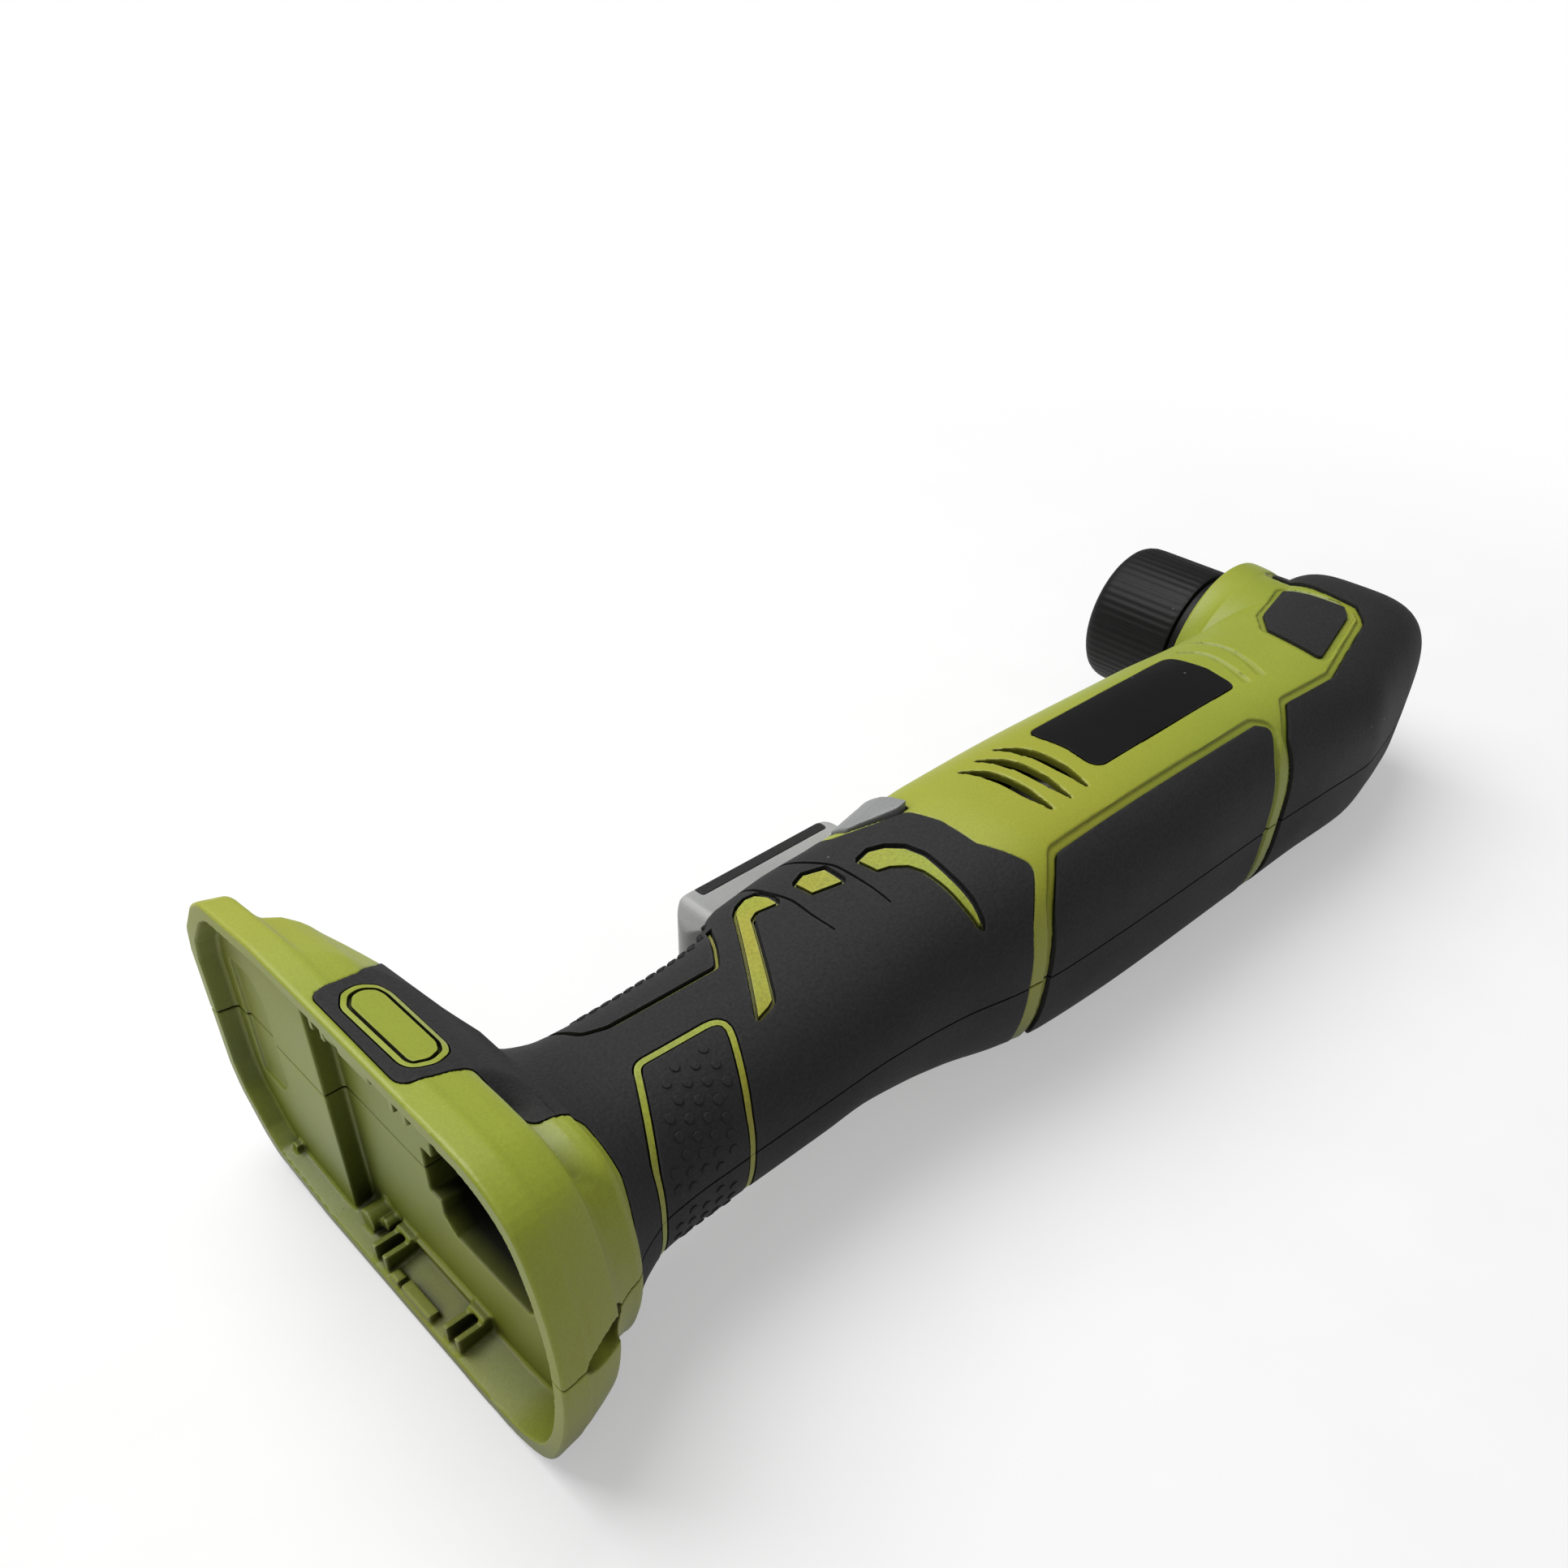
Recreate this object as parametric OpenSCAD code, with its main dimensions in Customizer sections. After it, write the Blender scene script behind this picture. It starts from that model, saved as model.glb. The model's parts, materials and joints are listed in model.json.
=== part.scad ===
// Right angle drill, bare tool without its battery. Sizes in millimetres.
// +X runs from the foot rim to the head, +Y to the chuck side, +Z to the left half.
// The two housing halves meet in the plane z = 0. The motor axis is y = 0, z = 0.

/* [Housing] */
// foot rim to the chuck axis
spindle_x = 268; // [264:1:274]
// motor axis to the back of the barrel
barrel_back = 25.6; // [25.2:0.1:27]
// motor axis to the front of the barrel
barrel_front = 26; // [25.6:0.1:27.5]
// half width of the barrel
barrel_half = 26.4; // [26:0.1:28]
// motor axis to the back of the grip
grip_back = 17.8; // [17.5:0.1:19]
// motor axis to the front of the grip
grip_front = 20.5; // [20:0.1:21.5]
// half width of the grip
grip_half = 18.6; // [18.2:0.1:20]
// radius of the head around the chuck axis
head_r = 25; // [24.8:0.1:26.5]
// motor axis to the front of the head
head_front = 24.5; // [24:0.1:26]
// motor axis to the back of the head, at the chuck axis
head_back = 22.6; // [22.2:0.1:24]
// hump behind the head, past the barrel back
head_hump = 1.7; // [1:0.1:2.5]
// outer radius of the collar around the chuck
collar_r = 23.5; // [23:0.1:24.5]
// collar height past the head front
collar_h = 6.5; // [5.5:0.1:7.5]
// wall of the housing, rubber included
shell_t = 3.6; // [3.3:0.1:3.9]
// thickness of the rubber skins
rubber_t = 1.5; // [1.2:0.1:1.7]
// thickness of plates, badges and inlays
inlay_t = 1; // [0.7:0.1:1.1]
// gap around a skin or an inlay
bond_gap = 0.05; // [0.03:0.01:0.1]
// gap between the housing halves
part_gap = 0.1; // [0.05:0.01:0.2]

/* [Foot] */
// motor axis to the front of the foot rim
foot_front = 79; // [76:0.5:82]
// motor axis to the back of the foot rim
foot_back = 32.6; // [31.5:0.1:34]
// half width of the foot rim
foot_half = 34.6; // [33.5:0.1:36]
// height of the flange at the front of the foot
flange_h = 5.5; // [4.5:0.1:6]
// height of the foot shoulder
foot_h = 21; // [20:0.25:22.5]
// wall of the foot
foot_wall = 3; // [2.6:0.1:3.4]
// depth of the foot mouth in front
mouth_front_d = 4; // [3:0.1:5]
// depth of the foot mouth at the stem
mouth_d = 8; // [7:0.1:8.4]
// motor axis to the step in the mouth
mouth_step_y = 43; // [40:0.5:46]
// front end of the stem hole
stem_front = 17; // [16:0.25:17.5]
// back end of the stem hole
stem_back = 14; // [13:0.25:14.5]
// half width of the stem hole
stem_half = 12; // [11:0.25:12.5]
// length of the battery stem's room
stem_len = 64; // [60:1:66]
// width of the strap slot at the back of the foot
strap_w = 5; // [4.4:0.1:6]
// length of the strap slot
strap_len = 9; // [7:0.25:10]

/* [Trigger] */
// trigger pivot, from the foot rim
pivot_x = 119; // [118:0.5:120]
// trigger pivot, from the motor axis
pivot_y = 24; // [23.5:0.25:25]
// radius of the trigger pin
trigger_pin_r = 1.5; // [1.2:0.1:1.8]
// reach of the trigger from its pivot to the foot end
trigger_reach = 41.5; // [39:0.5:42]
// motor axis to the face of the trigger
trigger_face = 36.25; // [34.5:0.25:37]
// half width of the trigger
trigger_half = 8.8; // [8.2:0.1:9.2]
// thickness of the trigger pad
pad_t = 3; // [2.4:0.1:3.4]
// travel of the trigger in degrees
trigger_deg = 8; // [6:0.5:8]
// gap around the trigger in its opening
trigger_gap = 0.6; // [0.5:0.05:0.9]

/* [Selector] */
// foot end of the selector
selector_x = 109; // [108.8:0.1:109.4]
// length of the selector buttons
selector_len = 10.8; // [10.4:0.1:11]
// motor axis to the lower edge of the selector
selector_low = 12.5; // [12.3:0.1:13]
// motor axis to the face of the selector
selector_face = 23.3; // [22.8:0.1:23.6]
// outer half width of the selector
selector_half = 25.9; // [25.4:0.1:26.5]
// depth of a selector button
selector_t = 8.6; // [8:0.1:9]
// thickness of the selector bar
bar_t = 5; // [4.5:0.1:5.2]
// travel of the selector to each side
selector_travel = 2.5; // [2:0.1:2.6]

/* [Switch] */
// foot end of the switch
switch_x = 85; // [84:0.5:86]
// length of the switch
switch_len = 30; // [27:0.5:31]
// half width of the switch
switch_half = 10; // [9:0.25:11]
// motor axis to the top of the switch
switch_top = 9; // [8:0.25:10]
// height of the switch
switch_h = 19; // [17:0.5:20]
// radius of the switch plunger
plunger_r = 2.4; // [2:0.1:3]
// plunger, from the trigger pivot
plunger_reach = 20; // [18:0.5:22]

/* [Motor] */
// outer radius of the motor can
motor_r = 18.2; // [17.6:0.1:18.6]
// length of the motor can
motor_len = 52; // [48:0.5:53]
// wall of the motor can
can_t = 1.6; // [1.2:0.1:2]
// thickness of the magnets
magnet_t = 3; // [2.4:0.1:3.4]
// air gap between the magnets and the armature
air_gap = 0.5; // [0.4:0.05:0.8]
// radius of the motor shaft
shaft_r = 1.6; // [1.4:0.05:1.7]
// length of the brush card
card_len = 12; // [10:0.5:13]
// radius of the commutator
comm_r = 5; // [4.4:0.1:5.6]
// radius of the fan
fan_r = 15.5; // [13:0.25:16.5]
// length of the fan
fan_len = 5; // [4:0.25:5.5]

/* [Gears] */
// module of the planet stage
planet_m = 0.6; // [0.58:0.01:0.62]
// width of the planet gears
planet_w = 8; // [6:0.5:9]
// module of the bevel pair
bevel_m = 0.8; // [0.78:0.01:0.82]
// tooth width of the bevel pair
bevel_w = 4.7; // [4:0.1:5]
// radius of the planet pins
planet_pin_r = 1.5; // [1.2:0.05:1.7]
// radius of the pinion shaft
pinion_shaft_r = 3.2; // [2.8:0.1:3.4]
// running gap between a shaft and its hole
run_gap = 0.05; // [0.03:0.01:0.08]
// gap between pieces that are fixed together
seat_gap = 0.02; // [0.02:0.01:0.05]

/* [Gear case] */
// outer radius of the gear case
case_r = 19.8; // [19.5:0.1:20.2]
// wall of the gear case
case_t = 2.2; // [2:0.1:2.4]
// outer radius of the pinion bearing
pinion_brg_r = 8; // [7.5:0.25:8.5]
// width of the pinion bearing
pinion_brg_w = 7; // [6:0.25:8]

/* [Spindle and chuck] */
// radius of the spindle
spindle_r = 5; // [4.6:0.1:5.2]
// outer radius of the front bearing
front_brg_r = 11; // [10:0.25:12]
// width of the front bearing
front_brg_w = 9; // [8:0.25:9.5]
// outer radius of the rear bush
rear_bush_r = 8; // [7.5:0.25:8.5]
// length of the rear bush
rear_bush_w = 4; // [3.5:0.25:4.25]
// collar top to the chuck
chuck_gap = 1.2; // [1:0.1:2]
// length of the chuck body
chuck_len = 27.5; // [26.5:0.25:28.5]
// outer radius of the chuck body
chuck_r = 13.8; // [13.5:0.1:14]
// outer radius of the chuck sleeve
sleeve_r = 19; // [18.6:0.1:19.5]
// lip of the sleeve past the chuck body
sleeve_lip = 3; // [2.4:0.1:3.5]
// height of the ring behind the sleeve
rear_ring_h = 3; // [2.6:0.1:3.2]
// radius of the opening for a drill shank
shank_r = 5.25; // [5.1:0.05:5.4]
// depth of the shank opening
shank_d = 17; // [15:0.5:18]
// slope of the jaws in degrees
jaw_deg = 18; // [16:0.5:19]
// radius of a jaw
jaw_r = 2.9; // [2.7:0.05:3]
// length of a jaw
jaw_len = 17; // [16:0.25:17.5]
// gap around a moving chuck piece
chuck_run = 0.3; // [0.25:0.05:0.4]

/* [Fasteners] */
// radius of the housing screws
screw_r = 1.4; // [1.2:0.1:1.6]
// radius of the housing screw heads
screw_head_r = 2.7; // [2.4:0.1:3]
// radius of the screw bosses
boss_r = 3.6; // [3.3:0.1:4]

/* [Hidden] */
// node to draw, set by the build

// one overrun for all cuts
over = 1;
// points around a barrel section
section_n = 32;
// facets of round pieces in faceted nodes
round_n = 40;
// facets of small round pieces there
small_n = 20;

// Barrel stations: place along the tool, then how far each size has gone
// from the grip to the barrel, and the squareness of the section.
station_shares = [0.0746, 0.097, 0.123, 0.157, 0.224, 0.2687, 0.2985, 0.343, 0.388,
    0.44, 0.485, 0.54, 0.597, 0.67, 0.746, 0.84];
back_shares = [0.8, 0.35, 0.06, 0, 0, 0, 0, 0.08, 0.26, 0.64, 0.82, 0.9, 0.94, 0.98, 1, 1.1];
front_shares = [1, 0.36, 0.06, 0, 0.09, 0.42, 1.3, 1.42, 1.24, 1.18, 1.11, 1.04, 1, 0.92,
    0.82, 0.73];
half_shares = [0.76, 0.25, 0.05, 0, 0.03, 0.07, 0.11, 0.26, 0.47, 0.77, 0.95, 1, 1, 0.98,
    0.95, 0.86];
square_shares = [2.8, 2.6, 2.5, 2.5, 2.5, 2.5, 2.5, 2.6, 2.7, 2.8, 3, 3.1, 3.2, 3.2, 3.2, 3];
// Head stations between the barrel and the chuck axis.
neck_shares = [0.903, 0.955];
neck_back_shares = [1, 0.45];
neck_half_shares = [0.99, 0.996];
head_square_share = 3;
// angles of the round end of the head, and what is left of its back there
end_angles = [0, 20, 40, 57, 73, 85];
end_back_shares = [1, 0.89, 0.8, 0.72, 0.64, 0.53];
// how square the end of the head is, seen along the chuck axis
end_plan_share = 2.6;

// Outline of the foot, as shares of its front or back reach and its half width.
foot_shares = [[-1, 0], [-0.975, 0.29], [-0.89, 0.607], [-0.75, 0.853], [-0.52, 0.971],
    [-0.245, 1], [0.6, 1], [0.845, 0.93], [0.9, 0.84], [0.978, 0.6], [0.994, 0.42],
    [1, 0]];
// Foot levels above the flange: height, back, front and half width.
level_shares = [[0.31, 0.979, 0.868, 0.96], [0.667, 0.89, 0.772, 0.855],
    [0.857, 0.813, 0.645, 0.746], [1, 0.736, 0.33, 0.647]];
flange_shares = [0.982, 0.985, 0.971];
// Hollow inside the foot: height, back, front and half width, before the wall.
hollow_shares = [[0.5, 0.93, 0.81, 0.9], [0.643, 0.88, 0.74, 0.84], [0.786, 0.79, 0.57, 0.74]];
foot_skin_share = 1.4;

// Outlines of the skins from the side: shares of spindle_x and of barrel_back.
grip_shares = [[0.083, -1.6], [0.083, -0.883], [0.09, -0.668], [0.088, -0.32],
    [0.0615, -0.254], [0.0526, 0.05], [0.0485, 0.14], [0.0064, 0.152], [0.007, 1.172],
    [0.0418, 1.27], [0.0597, 1.43], [0.09, 1.875], [0.28, 1.6], [0.3937, 1.6], [0.3937, 0.742],
    [0.406, 0.641], [0.4213, 0.539], [0.443, 0.4375], [0.449, 0.16], [0.448, -0.207],
    [0.466, -0.6], [0.444, -0.84],
    [0.4515, -1.6]];
panel_shares = [[0.472, -1.6], [0.4657, -0.86], [0.489, -0.633], [0.7445, -0.656],
    [0.759, -0.742], [0.7445, -0.918], [0.7537, -1.6]];
cover_shares = [[0.778, -1.6], [0.7724, -0.86], [0.7985, -0.637], [0.871, -0.66],
    [0.976, -0.363], [0.9974, -0.168], [1.0127, 0.586], [1.015, 0.86], [1.2, 0.86],
    [1.2, -1.6]];
window_shares = [[0.987, 0.559], [0.987, -0.082], [0.9716, -0.2], [0.8847, -0.4375],
    [0.896, 0.172], [0.924, 0.39]];
plate_shares = [[0.583, -0.24], [0.768, -0.24], [0.777, -0.21], [0.785, 0.1],
    [0.785, 0.44], [0.78, 0.49], [0.589, 0.49], [0.584, 0.45], [0.59, 0.1]];
badge_shares = [[0.0146, 0.957], [0.0224, 1.094], [0.0336, 1.145], [0.0463, 1.109],
    [0.05, 1.012], [0.0504, 0.422], [0.0459, 0.309], [0.0343, 0.234], [0.0194, 0.246],
    [0.0157, 0.313]];
hook_shares = [[0.2257, -0.316], [0.2881, 0.633], [0.2951, 0.691], [0.306, 0.734],
    [0.3138, 0.695], [0.3168, 0.57], [0.3153, 0.4375], [0.2981, 0.488], [0.291, 0.453],
    [0.2478, -0.25], [0.2418, -0.277]];
tile_shares = [[0.3347, 0.52], [0.3466, 0.5625], [0.3619, 0.469], [0.3604, 0.238],
    [0.3351, 0.328]];
blade_shares = [[0.3795, 0.34], [0.3929, 0.359], [0.4037, 0.289], [0.4127, 0.16],
    [0.4157, -0.008], [0.4131, -0.27], [0.4123, -0.523], [0.4101, -0.676], [0.4052, -0.629],
    [0.4034, -0.488], [0.403, -0.27], [0.4022, -0.109], [0.3989, 0.004], [0.3907, 0.094],
    [0.3813, 0.14]];
frame_shares = [[0.1444, -0.105], [0.2145, -0.137], [0.19, -0.66], [0.188, -1.6],
    [0.1, -1.6], [0.115, -0.66]];
// width of the line around the grip insert
frame_w = 1.3;
// Vent slots: places along the tool, radius, half angle and width.
vent_x_shares = [0.516, 0.5402, 0.5645];
vent_r = 24;
vent_deg = 25;
vent_w = 2.6;
vent_y_share = 0.07;

// Gear train sizes.
sun_teeth = 10;
planet_teeth = 20;
ring_teeth = 50;
pinion_teeth = 12;
gear_teeth = 36;
planet_count = 3;
pressure_deg = 20;
addendum_share = 0.9;
dedendum_share = 1.2;
tooth_share = 0.82;
sun_pr = planet_m * sun_teeth / 2;
planet_pr = planet_m * planet_teeth / 2;
ring_pr = planet_m * ring_teeth / 2;
planet_orbit = sun_pr + planet_pr;
pinion_pr = bevel_m * pinion_teeth / 2;
gear_pr = bevel_m * gear_teeth / 2;
cone_len = norm([pinion_pr, gear_pr]);
pinion_cone = atan2(pinion_pr, gear_pr);
gear_cone = atan2(gear_pr, pinion_pr);

// Places along the motor axis, worked back from the chuck axis.
wall_gap = 0.5;
pinion_x = spindle_x - gear_pr;
pinion_hub = 2.4;
brg_x = pinion_x - pinion_hub - wall_gap - pinion_brg_w;
carrier_t = 4;
carrier_x = brg_x - case_t - wall_gap - carrier_t;
planet_x = carrier_x - wall_gap - planet_w;
plate_t = 2.5;
case_x = planet_x - wall_gap - plate_t;
fan_x = case_x - wall_gap - fan_len;
can_x = fan_x - wall_gap - motor_len;
card_x = can_x - card_len;
bush_r = 4.5;
small_bush_r = 3;
bush_len = 5;
shaft_x = card_x + wall_gap;
core_len = 28;
core_x = can_x + (motor_len - core_len) / 2;
core_r = motor_r - can_t - magnet_t - air_gap;
pole_n = 5;
pole_slot = 2;
hub_r = 5;
comm_len = 9;
comm_x = can_x - comm_len;
brush_w = 5;
brush_len = 7;
blade_n = 9;
blade_t = 1.2;
boss_len = 3;

// Places along the chuck axis.
collar_step = 0.5;
flare_x = 6;
flare_h = 4;
flare_in = 0.3;
collar_top = head_front + collar_h;
chuck_y = collar_top + chuck_gap;
nose_y = chuck_y + chuck_len;
sleeve_top = nose_y + sleeve_lip;
sleeve_y = chuck_y + rear_ring_h + chuck_run;
gear_face = pinion_pr;
gear_back = 5;
gear_y = gear_face + bevel_m;
case_top = head_front + collar_h - chuck_gap;
brg_y = case_top - case_t - front_brg_w;
case_low = head_back - shell_t - 3 * wall_gap;
bush_y = case_low - case_t;
belly_y = 10;
cavity_low = belly_y - case_t;
neck_r = rear_bush_r + case_t;
case_bore = case_r - case_t;
nose_r = 16.5;
hole_r = jaw_r + chuck_run;
tip_rho = 6.3;
grip_r = shank_r + run_gap;
tip_w = 1.2;
nut_h = 5;
nut_rise = 11;
nut_y = chuck_y + nut_rise;
nut_r = 14.9;
sleeve_bore = 16.5;
flange_r = 16;
flange_t = 3;
spindle_stub = 7;
spindle_top = chuck_y + spindle_stub;
flute_n = 24;
flute_r = 1.2;
nose_shares = [0.6, 0.8, 0.93, 1];
nose_r_shares = [1, 0.93, 0.76, 0.6];
lip_hole = tip_rho + jaw_r + chuck_run + wall_gap;
rear_ring_r = 17.8;
chuck_screw_r = 2.4;
chuck_screw_head = 4;
chuck_screw_h = 1.4;
chuck_screw_len = 9;

// Inside the grip.
term_gap = 1.5;
term_x = stem_len + term_gap;
term_len = 12;
term_half = 11;
term_front = 13;
term_back = 10.5;
tab_n = 3;
tab_len = 14;
tab_t = 0.9;
tab_w = 6;
tab_pitch = 6.5;
rib_t = 2;
rib_gap = 0.15;

// A place along the tool from its share of spindle_x. The skirt keeps to the foot height, the grip
// to the selector, and the barrel to the chuck axis.
foot_h_share = 0.07835820895522388;
selector_x_share = 0.40671641791044777;
slip_shares = [[0, 0], [foot_h_share, foot_h - foot_h_share * spindle_x],
    [selector_x_share, selector_x - selector_x_share * spindle_x], [1, 0]];
function along(s) = s * spindle_x + lookup(s, slip_shares);

// Screw places: shares of spindle_x and of barrel_back. The last screw passes beside the motor.
screw_shares = [[0.046, 2.1], [0.3035, -0.46], [0.463, -0.52]];
motor_screw_share = 0.5504;
screw_places = concat([for (s = screw_shares) [along(s[0]), s[1] * barrel_back]],
    [[along(motor_screw_share), motor_r + screw_r + 2 * wall_gap]]);
screw_reach_shares = [[-0.88, 0.55], [-0.36, 0.4], [-0.75, 0.45], [-0.55, 0.4]];
screw_out_share = -1.4;
boss_top_share = 1.2;
screw_head_h = 2.4;

// Barrel, foot and collar, each drawn smaller by an inset.
function mixed(a, b, s) = a + (b - a) * s;
function bent(v, p) = sign(v) * pow(abs(v), p);
function section_ring(s, inset) = [
    for (i = [0 : section_n - 1])
        let (a = 360 * i / section_n, p = 2 / s[4])
        [s[0], (s[2] - s[1]) / 2 + ((s[2] + s[1]) / 2 - inset) * bent(cos(a), p),
            (s[3] - inset) * bent(sin(a), p)]
];
function barrel_station(i) = [
    along(station_shares[i]),
    mixed(grip_back, barrel_back, back_shares[i]),
    mixed(grip_front, barrel_front, front_shares[i]),
    mixed(grip_half, barrel_half, half_shares[i]),
    square_shares[i]
];
function neck_station(i) = [
    along(neck_shares[i]),
    mixed(head_back, barrel_back + head_hump, neck_back_shares[i]),
    head_front,
    neck_half_shares[i] * head_r,
    head_square_share
];
function end_station(i, inset) = [
    spindle_x + (head_r - inset) * sin(end_angles[i]),
    head_back * end_back_shares[i],
    head_front,
    (head_r - inset) * pow(1 - pow(sin(end_angles[i]), end_plan_share), 1 / end_plan_share) + inset,
    head_square_share
];
function stations(inset) = concat(
    [for (i = [0 : len(station_shares) - 1]) barrel_station(i)],
    [for (i = [0 : len(neck_shares) - 1]) neck_station(i)],
    [for (i = [0 : len(end_angles) - 1]) end_station(i, inset)]
);
function outline(shares) = [for (p = shares) [along(p[0]), p[1] * barrel_back]];
function foot_points(back, front, half) = concat(
    [for (p = foot_shares) [p[0] * (p[0] < 0 ? back : front), p[1] * half]],
    [for (i = [len(foot_shares) - 2 : -1 : 1])
        let (p = foot_shares[i])
        [p[0] * (p[0] < 0 ? back : front), -p[1] * half]]
);

function foot_ring(x, back, front, half) =
    [for (p = foot_points(back, front, half)) [x, p[0], p[1]]];
function foot_level(i, x, inset) = foot_ring(x, level_shares[i][1] * foot_back - inset,
    level_shares[i][2] * foot_front - inset, level_shares[i][3] * foot_half - inset);
function hollow_ring(i) = foot_ring(hollow_shares[i][0] * foot_h,
    hollow_shares[i][1] * foot_back - foot_wall, hollow_shares[i][2] * foot_front - foot_wall,
    hollow_shares[i][3] * foot_half - foot_wall);

module across_x(x, h)
    translate([x, 0, 0])
        rotate([90, 0, 90])
            linear_extrude(h)
                children();

module along_y(x, y, z, h)
    translate([x, y + h, z])
        rotate([90, 0, 0])
            linear_extrude(h)
                children();

module round_x(x, h, r)
    translate([x, 0, 0])
        rotate([0, 90, 0])
            cylinder(h = h, r = r, $fn = round_n);

module round_y(y, h, r)
    translate([spindle_x, y, 0])
        rotate([-90, 0, 0])
            cylinder(h = h, r = r, $fn = round_n);

// The stretch between two rings of points.
module link(a, b)
    hull()
        polyhedron(points = concat(a, b), faces = [
            [for (i = [0 : len(a) - 1]) i],
            [for (i = [len(a) + len(b) - 1 : -1 : len(a)]) i]
        ]);

module barrel(inset) {
    list = stations(inset);
    for (i = [0 : len(list) - 2])
        link(section_ring(list[i], inset), section_ring(list[i + 1], inset));
}

module foot_block(inset) {
    link(foot_ring(0, foot_back - inset, foot_front - inset, foot_half - inset),
        foot_ring(flange_h, flange_shares[0] * foot_back - inset,
            flange_shares[1] * foot_front - inset, flange_shares[2] * foot_half - inset));
    link(foot_level(0, flange_h / 2, inset), foot_level(0, level_shares[0][0] * foot_h, inset));
    for (i = [0 : len(level_shares) - 2])
        link(foot_level(i, level_shares[i][0] * foot_h, inset),
            foot_level(i + 1, level_shares[i + 1][0] * foot_h
                - (i + 2 == len(level_shares) ? inset : 0), inset));
}

function ring_y(x, y, r) = [for (i = [0 : round_n - 1])
    [x + r * cos(360 * i / round_n), y, r * sin(360 * i / round_n)]];

module collar(inset) {
    flare_r = head_r - collar_step - flare_in - inset;
    link(ring_y(spindle_x - flare_x, 0, flare_r), ring_y(spindle_x - flare_x, head_front, flare_r));
    link(ring_y(spindle_x - flare_x, head_front, flare_r),
        ring_y(spindle_x - flare_x / 3, head_front + flare_h - inset, flare_r));
    round_y(0, head_front, head_r - collar_step - inset);
    translate([spindle_x, head_front - over, 0])
        rotate([-90, 0, 0])
            cylinder(h = collar_h + over, r1 = head_r - collar_step - inset, r2 = collar_r - inset,
                $fn = round_n);
}

module body_block(inset) {
    barrel(inset);
    foot_block(inset * foot_skin_share);
    collar(inset);
}

// The left half of what is drawn inside, or a prism over an outline there.
module left_half()
    intersection() {
        children();
        translate([-over, -foot_front, part_gap / 2])
            cube([spindle_x + 2 * head_r, 2 * foot_front, foot_half + over]);
    }

module prism(shares, grow)
    linear_extrude(foot_half + over)
        offset(delta = grow)
            polygon(outline(shares));

module skin(shares, t)
    left_half()
        intersection() {
            difference() {
                body_block(0);
                body_block(t);
            }
            prism(shares, 0);
        }

// What a skin takes out of the wall below it.
module skin_bed(shares, t)
    intersection() {
        difference() {
            body_block(-over);
            body_block(t + bond_gap);
        }
        prism(shares, bond_gap);
    }

module trigger_opening()
    translate([pivot_x - trigger_reach - 2 * trigger_gap, stem_back, -trigger_half - trigger_gap])
        cube([trigger_reach + 2 * trigger_pin_r + 3 * trigger_gap, foot_front,
            2 * (trigger_half + trigger_gap)]);

module selector_opening()
    for (side = [0, 1])
        mirror([0, 0, side])
            translate([0, 0, selector_half - selector_t - selector_travel - 2 * trigger_gap])
                linear_extrude(foot_half)
                    offset(delta = trigger_gap)
                        selector_side();

module vent_arc(x)
    intersection() {
        translate([x - vent_r, vent_y_share * barrel_back, 0])
            difference() {
                cylinder(h = foot_half, r = vent_r + vent_w / 2, $fn = round_n);
                translate([0, 0, -over])
                    cylinder(h = foot_half + 2 * over, r = vent_r - vent_w / 2, $fn = round_n);
            }
        translate([x - vent_r, vent_y_share * barrel_back, 0])
            linear_extrude(foot_half)
                polygon([[0, 0], 2 * vent_r * [cos(vent_deg), -sin(vent_deg)],
                    2 * vent_r * [cos(vent_deg), sin(vent_deg)]]);
    }

module rib(x)
    intersection() {
        barrel(shell_t - over / 2);
        translate([x, -foot_front, -foot_half])
            cube([rib_t, 2 * foot_front, 2 * foot_half]);
    }

module stem_room()
    translate([-over, -stem_back, -stem_half])
        cube([stem_len + over, stem_back + stem_front, 2 * stem_half]);

module screw_axis(i, from_share, to_share, r)
    translate([screw_places[i][0], screw_places[i][1], from_share * barrel_half])
        cylinder(h = (to_share - from_share) * barrel_half, r = r, $fn = small_n);

module foot_hollow()
    for (i = [0 : len(hollow_shares) - 2])
        link(hollow_ring(i), hollow_ring(i + 1));

module mouth() {
    across_x(-over, mouth_front_d + over)
        polygon(foot_points(foot_back - foot_wall, foot_front - foot_wall, foot_half - foot_wall));
    intersection() {
        across_x(-over, mouth_d + over)
            polygon(foot_points(foot_back - foot_wall, foot_front - foot_wall,
                foot_half - foot_wall));
        translate([-2 * over, -foot_front, -foot_front])
            cube([foot_h, foot_front + mouth_step_y, 2 * foot_front]);
    }
}

// Latch seats on the side walls of the mouth.
latch_w = 9;
latch_gap = 14;
latch_t = 3;
latch_slot = 2.4;
latch_y = 4;
module latch_seats()
    for (i = [0, 1])
        translate([mouth_d / 4, latch_y + i * latch_gap, foot_half - foot_wall - latch_t])
            difference() {
                cube([mouth_d - mouth_d / 4 + over, latch_w, latch_t + over]);
                translate([-over, (latch_w - latch_slot) / 2, -over])
                    cube([mouth_d - mouth_d / 4 + over, latch_slot, latch_t]);
            }

module strap_slot()
    translate([flange_h, -foot_back - over, -strap_w / 2])
        cube([strap_len, foot_back / 2, strap_w]);

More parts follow.
